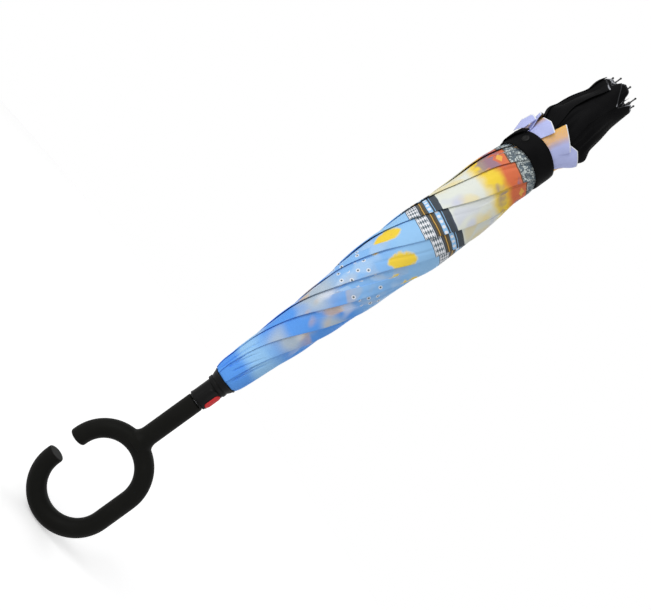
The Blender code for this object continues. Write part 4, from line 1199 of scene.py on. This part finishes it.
class UMBRELLA_OT_runner(bpy.types.Operator):
    """Build the runner: sleeve, collar with its lip, and the red release button"""
    bl_idname = "umbrella.runner"
    bl_label = "Runner"

    def execute(self, context):
        sizes = context.scene.umbrella_runner
        plastic = moulded_finish("runner_plastic", sizes.plastic)
        refined("runner_sleeve", "sleeve_skin", plastic, sizes.edge, "runner")
        refined("release_button", "button_skin", moulded_finish("button_plastic", sizes.button, 0.30),
                sizes.button_edge, "button", 50.0)
        collar = piece("collar_skin", self.collar(sizes), plastic)
        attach(collar, "runner")
        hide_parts("runner_collar")
        return {"FINISHED"}

    @staticmethod
    def collar(sizes):
        """The collar: shoulder ring, waist, flare and thin lip."""
        foot, top, lip_foot = sizes.collar_foot, sizes.collar_top, sizes.collar_top - sizes.lip_height
        shoulder_top = foot + sizes.shoulder_height
        flare_foot, flare_wide = shoulder_top + 0.0012, sizes.lip - 0.0005 - sizes.waist
        flare = [(sizes.waist + flare_wide * (n / 8) ** 0.9,
                  flare_foot + (lip_foot - flare_foot) * n / 8) for n in range(9)]
        outline = rounded([(sizes.bore, top), (sizes.bore, foot), (sizes.shoulder, foot, 0.0006),
                           (sizes.shoulder, shoulder_top, 0.0007),
                           (sizes.waist, shoulder_top + 0.0006, 0.0003)], 0.0)
        outline += flare + rounded([(sizes.lip, lip_foot, 0.0004), (sizes.lip, top, 0.0004),
                                    (sizes.bore, top)], 0.0)[:-1]
        return turned("collar_skin", outline)


class UMBRELLA_OT_frame_finish(bpy.types.Operator):
    """Give the metal frame inside the canopy its finishes"""
    bl_idname = "umbrella.frame_finish"
    bl_label = "Frame finishes"

    def execute(self, context):
        black = steel_finish("black_steel", (0.020, 0.020, 0.022), 0.34, 0.85)
        bright = steel_finish("bright_steel", (0.58, 0.59, 0.61), 0.26)
        plastic = moulded_finish("frame_plastic", (0.012, 0.012, 0.012))
        rod = steel_finish("rod_black", (0.016, 0.016, 0.017), 0.42, 0.4)
        finishes = {"shaft": bright, "runner_wire": bright, "button_spring": bright,
                    "rib_hub": plastic, "top_notch": plastic, "crown_cap": plastic,
                    "rib_channel": black, "stretcher": black, "rib_rod": rod, "rib_tip": rod}
        for name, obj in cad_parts.items():
            for start, finish in finishes.items():
                if name.startswith(start):
                    obj.data.materials.clear()
                    obj.data.materials.append(finish)
        return {"FINISHED"}


class UMBRELLA_OT_printed_panels(bpy.types.Operator):
    """Furl the eight printed panels round the shaft"""
    bl_idname = "umbrella.printed_panels"
    bl_label = "Printed panels"

    def execute(self, context):
        finish = print_finish("printed_cloth", context.scene.umbrella_print)
        canopy = context.scene.umbrella_canopy
        furled_layer(PrintFurl(canopy), "printed_panel", finish, "inner_gore")
        corner = piece("hem_corner", cloth_mesh("hem_corner", 16, 14, self.corner), finish)
        thicken(corner, canopy.thickness)
        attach(corner, "rib_4")
        squash_to_rib(corner, 4)
        open_layer("open_print", finish, canopy, 0.472, 0.0024, 0.0006)
        return {"FINISHED"}

    @staticmethod
    def corner(u, v):
        """A loose fold of one panel's hem that stands out beside the strap's bunched end."""
        low = smoothed(((0.0, -150.0), (1.0, -171.0)), u), 0.6040 - 0.0070 * u, 0.0345
        high = (smoothed(((0.0, -146.0), (0.45, -160.0), (1.0, -173.0)), u),
                smoothed(((0.0, 0.6200), (0.45, 0.6215), (1.0, 0.6125)), u),
                smoothed(((0.0, 0.0352), (0.45, 0.0385), (1.0, 0.0395)), u))
        turn, z, radius = (a + (b - a) * v for a, b in zip(low, high))
        radius += 0.0006 * math.sin(u * 6.0) * v
        below = 0.012 * (1 - v)
        return (on_shaft(radius, math.radians(turn), z, -0.002),
                on_shaft(0.4790 - below, 4.5 * RIB_STEP + u * 0.016, below),
                (0.4790 - below, u * 0.015, 4.0))


class UMBRELLA_OT_lining(bpy.types.Operator):
    """Furl the eight black panels inside the printed ones and past their hem"""
    bl_idname = "umbrella.lining"
    bl_label = "Black lining"

    def execute(self, context):
        canopy = context.scene.umbrella_canopy
        inks = context.scene.umbrella_print
        # The lining_hem grey is the painted highlight of the hem tape's sheen
        finish = lining_finish("lining_cloth", inks.lining, inks.lining_hem)
        furled_layer(LiningFurl(canopy, PrintFurl(canopy)), "lining_panel", finish,
                     "outer_gore")
        open_layer("open_lining", finish, canopy, 0.486, -0.0058, -0.0004)
        return {"FINISHED"}


# The strap's bunched end: angle in degrees, height, radius, share of its width, twist in degrees
TAB_PATH = (
    (-178, 0.5850, 0.0302, 0.90, 3), (-172, 0.5895, 0.0316, 1.00, 4),
    (-165, 0.5935, 0.0321, 0.95, 6), (-157, 0.5975, 0.0325, 0.80, 8),
    (-148, 0.6015, 0.0327, 0.50, 8), (-138, 0.6062, 0.0326, 0.12, 4),
)
TAB_TABLES = [[(k / (len(TAB_PATH) - 1), value) for k, value in enumerate(column)]
              for column in zip(*TAB_PATH)]
# The place on the canopy's disc of cloth that isn't part of it, 1 m from any hem
NO_HEM = (0.0, 0.0, 1.0)


class UMBRELLA_OT_strap(bpy.types.Operator):
    """Build the tie strap with its bunched end and its snap fastener"""
    bl_idname = "umbrella.strap"
    bl_label = "Tie strap"

    def execute(self, context):
        sizes = context.scene.umbrella_strap
        inks = context.scene.umbrella_print
        finish = lining_finish("strap_cloth", inks.lining, inks.lining)
        band = cloth_mesh("strap_band", 160, 14, lambda u, v: self.band(sizes, u, v))
        band = piece("strap_band", band, finish)
        thicken(band, sizes.thickness * 0.8, 1.0)
        tab = cloth_mesh("strap_tab", 40, 16, lambda u, v: self.tab(sizes, u, v), 50.0)
        tab = piece("strap_tab", tab, finish)
        thicken(tab, sizes.thickness)
        snap = piece("strap_snap", self.snap(sizes),
                     moulded_finish("snap_black", (0.004, 0.004, 0.004)))
        for obj in (band, tab, snap):
            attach(obj, "rib_4")
            squash_to_rib(obj, 4)
        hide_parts("tie_strap")
        return {"FINISHED"}

    @staticmethod
    def band(sizes, u, v):
        """A point of the band, u of the way round the canopy and v of its width up."""
        theta = math.tau * u
        edge = 1 - (2 * v - 1) ** 8
        ripple = noise.noise(Vector((math.cos(theta) * 3.0, math.sin(theta) * 3.0, v * 2.0)))
        radius = sizes.radius + sizes.thickness * (0.55 + 0.45 * edge) + 0.00035 * ripple
        z = sizes.foot + v * sizes.width + 0.0006 * math.sin(theta * 2 + 0.4)
        z -= sizes.sag * math.cos(theta) ** 2
        return on_shaft(radius, theta, z, sizes.lean), NO_HEM, (u * 0.19, v * sizes.width, 0.0)

    @staticmethod
    def tab(sizes, u, v):
        """A point of the crumpled strip that comes off the band and crosses its upper edge."""
        across = 2 * v - 1
        turn, z, radius, wide, twist = (smoothed(table, u) for table in TAB_TABLES)
        turn, twist = math.radians(turn), math.radians(twist)
        side = across * wide * sizes.tab_width / 2
        crumple = noise.noise(Vector((u * 5.0, across * 2.2, 3.0)))
        radius += side * math.sin(twist) + 0.0008 * crumple + 0.0004 * math.cos(across * 7.0)
        z -= side * math.cos(twist) * 0.75
        turn += side * math.cos(twist) * 0.66 / radius
        return on_shaft(radius, turn, z, sizes.lean), NO_HEM, (u * 0.05, across * 0.006, 0.3)

    @staticmethod
    def snap(sizes):
        """The snap fastener's round cap on the band."""
        reach = sizes.radius + sizes.thickness
        place = (Matrix.Translation((sizes.lean, 0.0, sizes.foot + sizes.width / 2))
                 @ Matrix.Rotation(math.radians(-128), 4, "Z")
                 @ Matrix.Translation((reach, 0.0, 0.0)) @ Matrix.Rotation(math.pi / 2, 4, "Y"))
        outline = rounded([(0.0, 0.0), (sizes.snap, 0.0), (sizes.snap, 0.0012, 0.0005),
                           (sizes.snap * 0.55, 0.0016, 0.0004), (0.0, 0.0011)], 0.0)
        return turned("strap_snap", outline, 40, place)


class UMBRELLA_OT_studio(bpy.types.Operator):
    """Set the floor, the soft lights, the white surroundings and the camera"""
    bl_idname = "umbrella.studio"
    bl_label = "Studio"

    # Each lamp's name, place, width and the setting that holds its power
    lamps = (("key_lamp", (-1.35, -1.35, 1.35), 1.5, "key"),
             ("fill_lamp", (1.3, -1.1, -0.1), 1.2, "fill"),
             ("rim_lamp", (0.3, 1.5, 1.0), 1.4, "fill"))
    lamps_aim = Vector((0.0, 0.0, 0.33))
    photo_width_px = 651

    def execute(self, context):
        sizes = context.scene.umbrella_studio
        scene = context.scene
        scene.view_settings.view_transform = "Standard"
        self.surroundings(scene, sizes)
        bm = bmesh.new()
        bmesh.ops.create_circle(bm, cap_ends=True, segments=96, radius=sizes.floor)
        drop = Matrix.Translation((0, 0, CAD_BOX[0].z - sizes.floor_drop))
        bmesh.ops.transform(bm, matrix=drop, verts=bm.verts)
        piece("studio_floor", to_mesh("studio_floor", bm), self.floor_finish())
        scene.camera = self.camera(scene, sizes)
        for name, place, width, power in self.lamps:
            light = bpy.data.lights.new(name, "AREA")
            light.size, light.energy = width, getattr(sizes, power)
            lamp = bpy.data.objects.new(name, light)
            scene.collection.objects.link(lamp)
            lamp.location = place
            lamp.rotation_mode = "QUATERNION"
            lamp.rotation_quaternion = (self.lamps_aim - Vector(place)).to_track_quat("-Z", "Y")
        return {"FINISHED"}

    def camera(self, scene, sizes):
        """The photo's camera, turned so that the shaft rises to the right."""
        level = math.sqrt(1 - sizes.across ** 2)
        along, up = Vector((level, 0.0, sizes.across)), Vector((-sizes.across, 0.0, level))
        lens = bpy.data.cameras.new("photo_camera")
        lens.sensor_fit = "HORIZONTAL"
        lens.sensor_width = 36.0
        lens.lens = lens.sensor_width * sizes.scale * sizes.distance / self.photo_width_px
        lens.clip_start, lens.clip_end = 0.01, 20.0
        camera = bpy.data.objects.new("photo_camera", lens)
        scene.collection.objects.link(camera)
        turn = Matrix((along, up, along.cross(up))).transposed().to_4x4()
        camera.matrix_world = Matrix.Translation((sizes.aside, -sizes.distance, sizes.height)) @ turn
        return camera

    @staticmethod
    def floor_finish():
        """A pale floor, lifted to white for the camera and keeping the object's shadow."""
        graph = material_graph("studio_floor")
        glow = graph.mix(graph.seen_by("Camera", "Glossy"), (0.0, 0.0, 0.0), (1.0, 1.0, 1.0))
        return graph.finish(Base_Color=(0.86, 0.86, 0.86), Roughness=0.9, Emission_Color=glow,
                            Emission_Strength=0.42)

    @staticmethod
    def surroundings(scene, sizes):
        """A world that lights softly and shows white to the camera and in gloss."""
        white = (1.0, 1.0, 1.0)
        scene.world = bpy.data.worlds.new("white_studio")
        graph = Graph(scene.world, "Background")
        graph.finish(Color=white, Strength=sizes.ambient)
        light = Signal(graph, graph.shader.outputs[0])
        shown = graph.node("ShaderNodeBackground", {}, {"Color": white, "Strength": 1.0})
        seen = graph.seen_by("Camera", "Glossy", "Transmission")
        blend = graph.node("ShaderNodeMixShader", {}, {0: seen, 1: light, 2: shown})
        graph.feed(graph.nodes["World Output"].inputs["Surface"], blend)


OPERATORS = (
    UMBRELLA_OT_handle,
    UMBRELLA_OT_runner,
    UMBRELLA_OT_frame_finish,
    UMBRELLA_OT_printed_panels,
    UMBRELLA_OT_lining,
    UMBRELLA_OT_strap,
    UMBRELLA_OT_studio,
)


class UMBRELLA_PT_parts(bpy.types.Panel):
    """Lists the umbrella's pieces and their settings"""
    bl_idname = "UMBRELLA_PT_parts"
    bl_label = "Reverse-folding umbrella"
    bl_space_type = "VIEW_3D"
    bl_region_type = "UI"
    bl_category = "Umbrella"

    def draw(self, context):
        column = self.layout.column(align=True)
        for operator in OPERATORS:
            column.operator(operator.bl_idname)
        for name in SETTING_GROUPS:
            box = self.layout.box()
            group = getattr(context.scene, name)
            for key in group.__annotations__:
                box.prop(group, key)


def register():
    for name, group in SETTING_GROUPS.items():
        bpy.utils.register_class(group)
        setattr(bpy.types.Scene, name, bpy.props.PointerProperty(type=group))
    for cls in (*OPERATORS, UMBRELLA_PT_parts):
        bpy.utils.register_class(cls)


def unregister():
    for cls in (UMBRELLA_PT_parts, *reversed(OPERATORS)):
        bpy.utils.unregister_class(cls)
    for name, group in SETTING_GROUPS.items():
        delattr(bpy.types.Scene, name)
        bpy.utils.unregister_class(group)


def main():
    register()
    for operator in OPERATORS:
        group, name = operator.bl_idname.split(".")
        getattr(getattr(bpy.ops, group), name)()


if __name__ == "__main__":
    main()
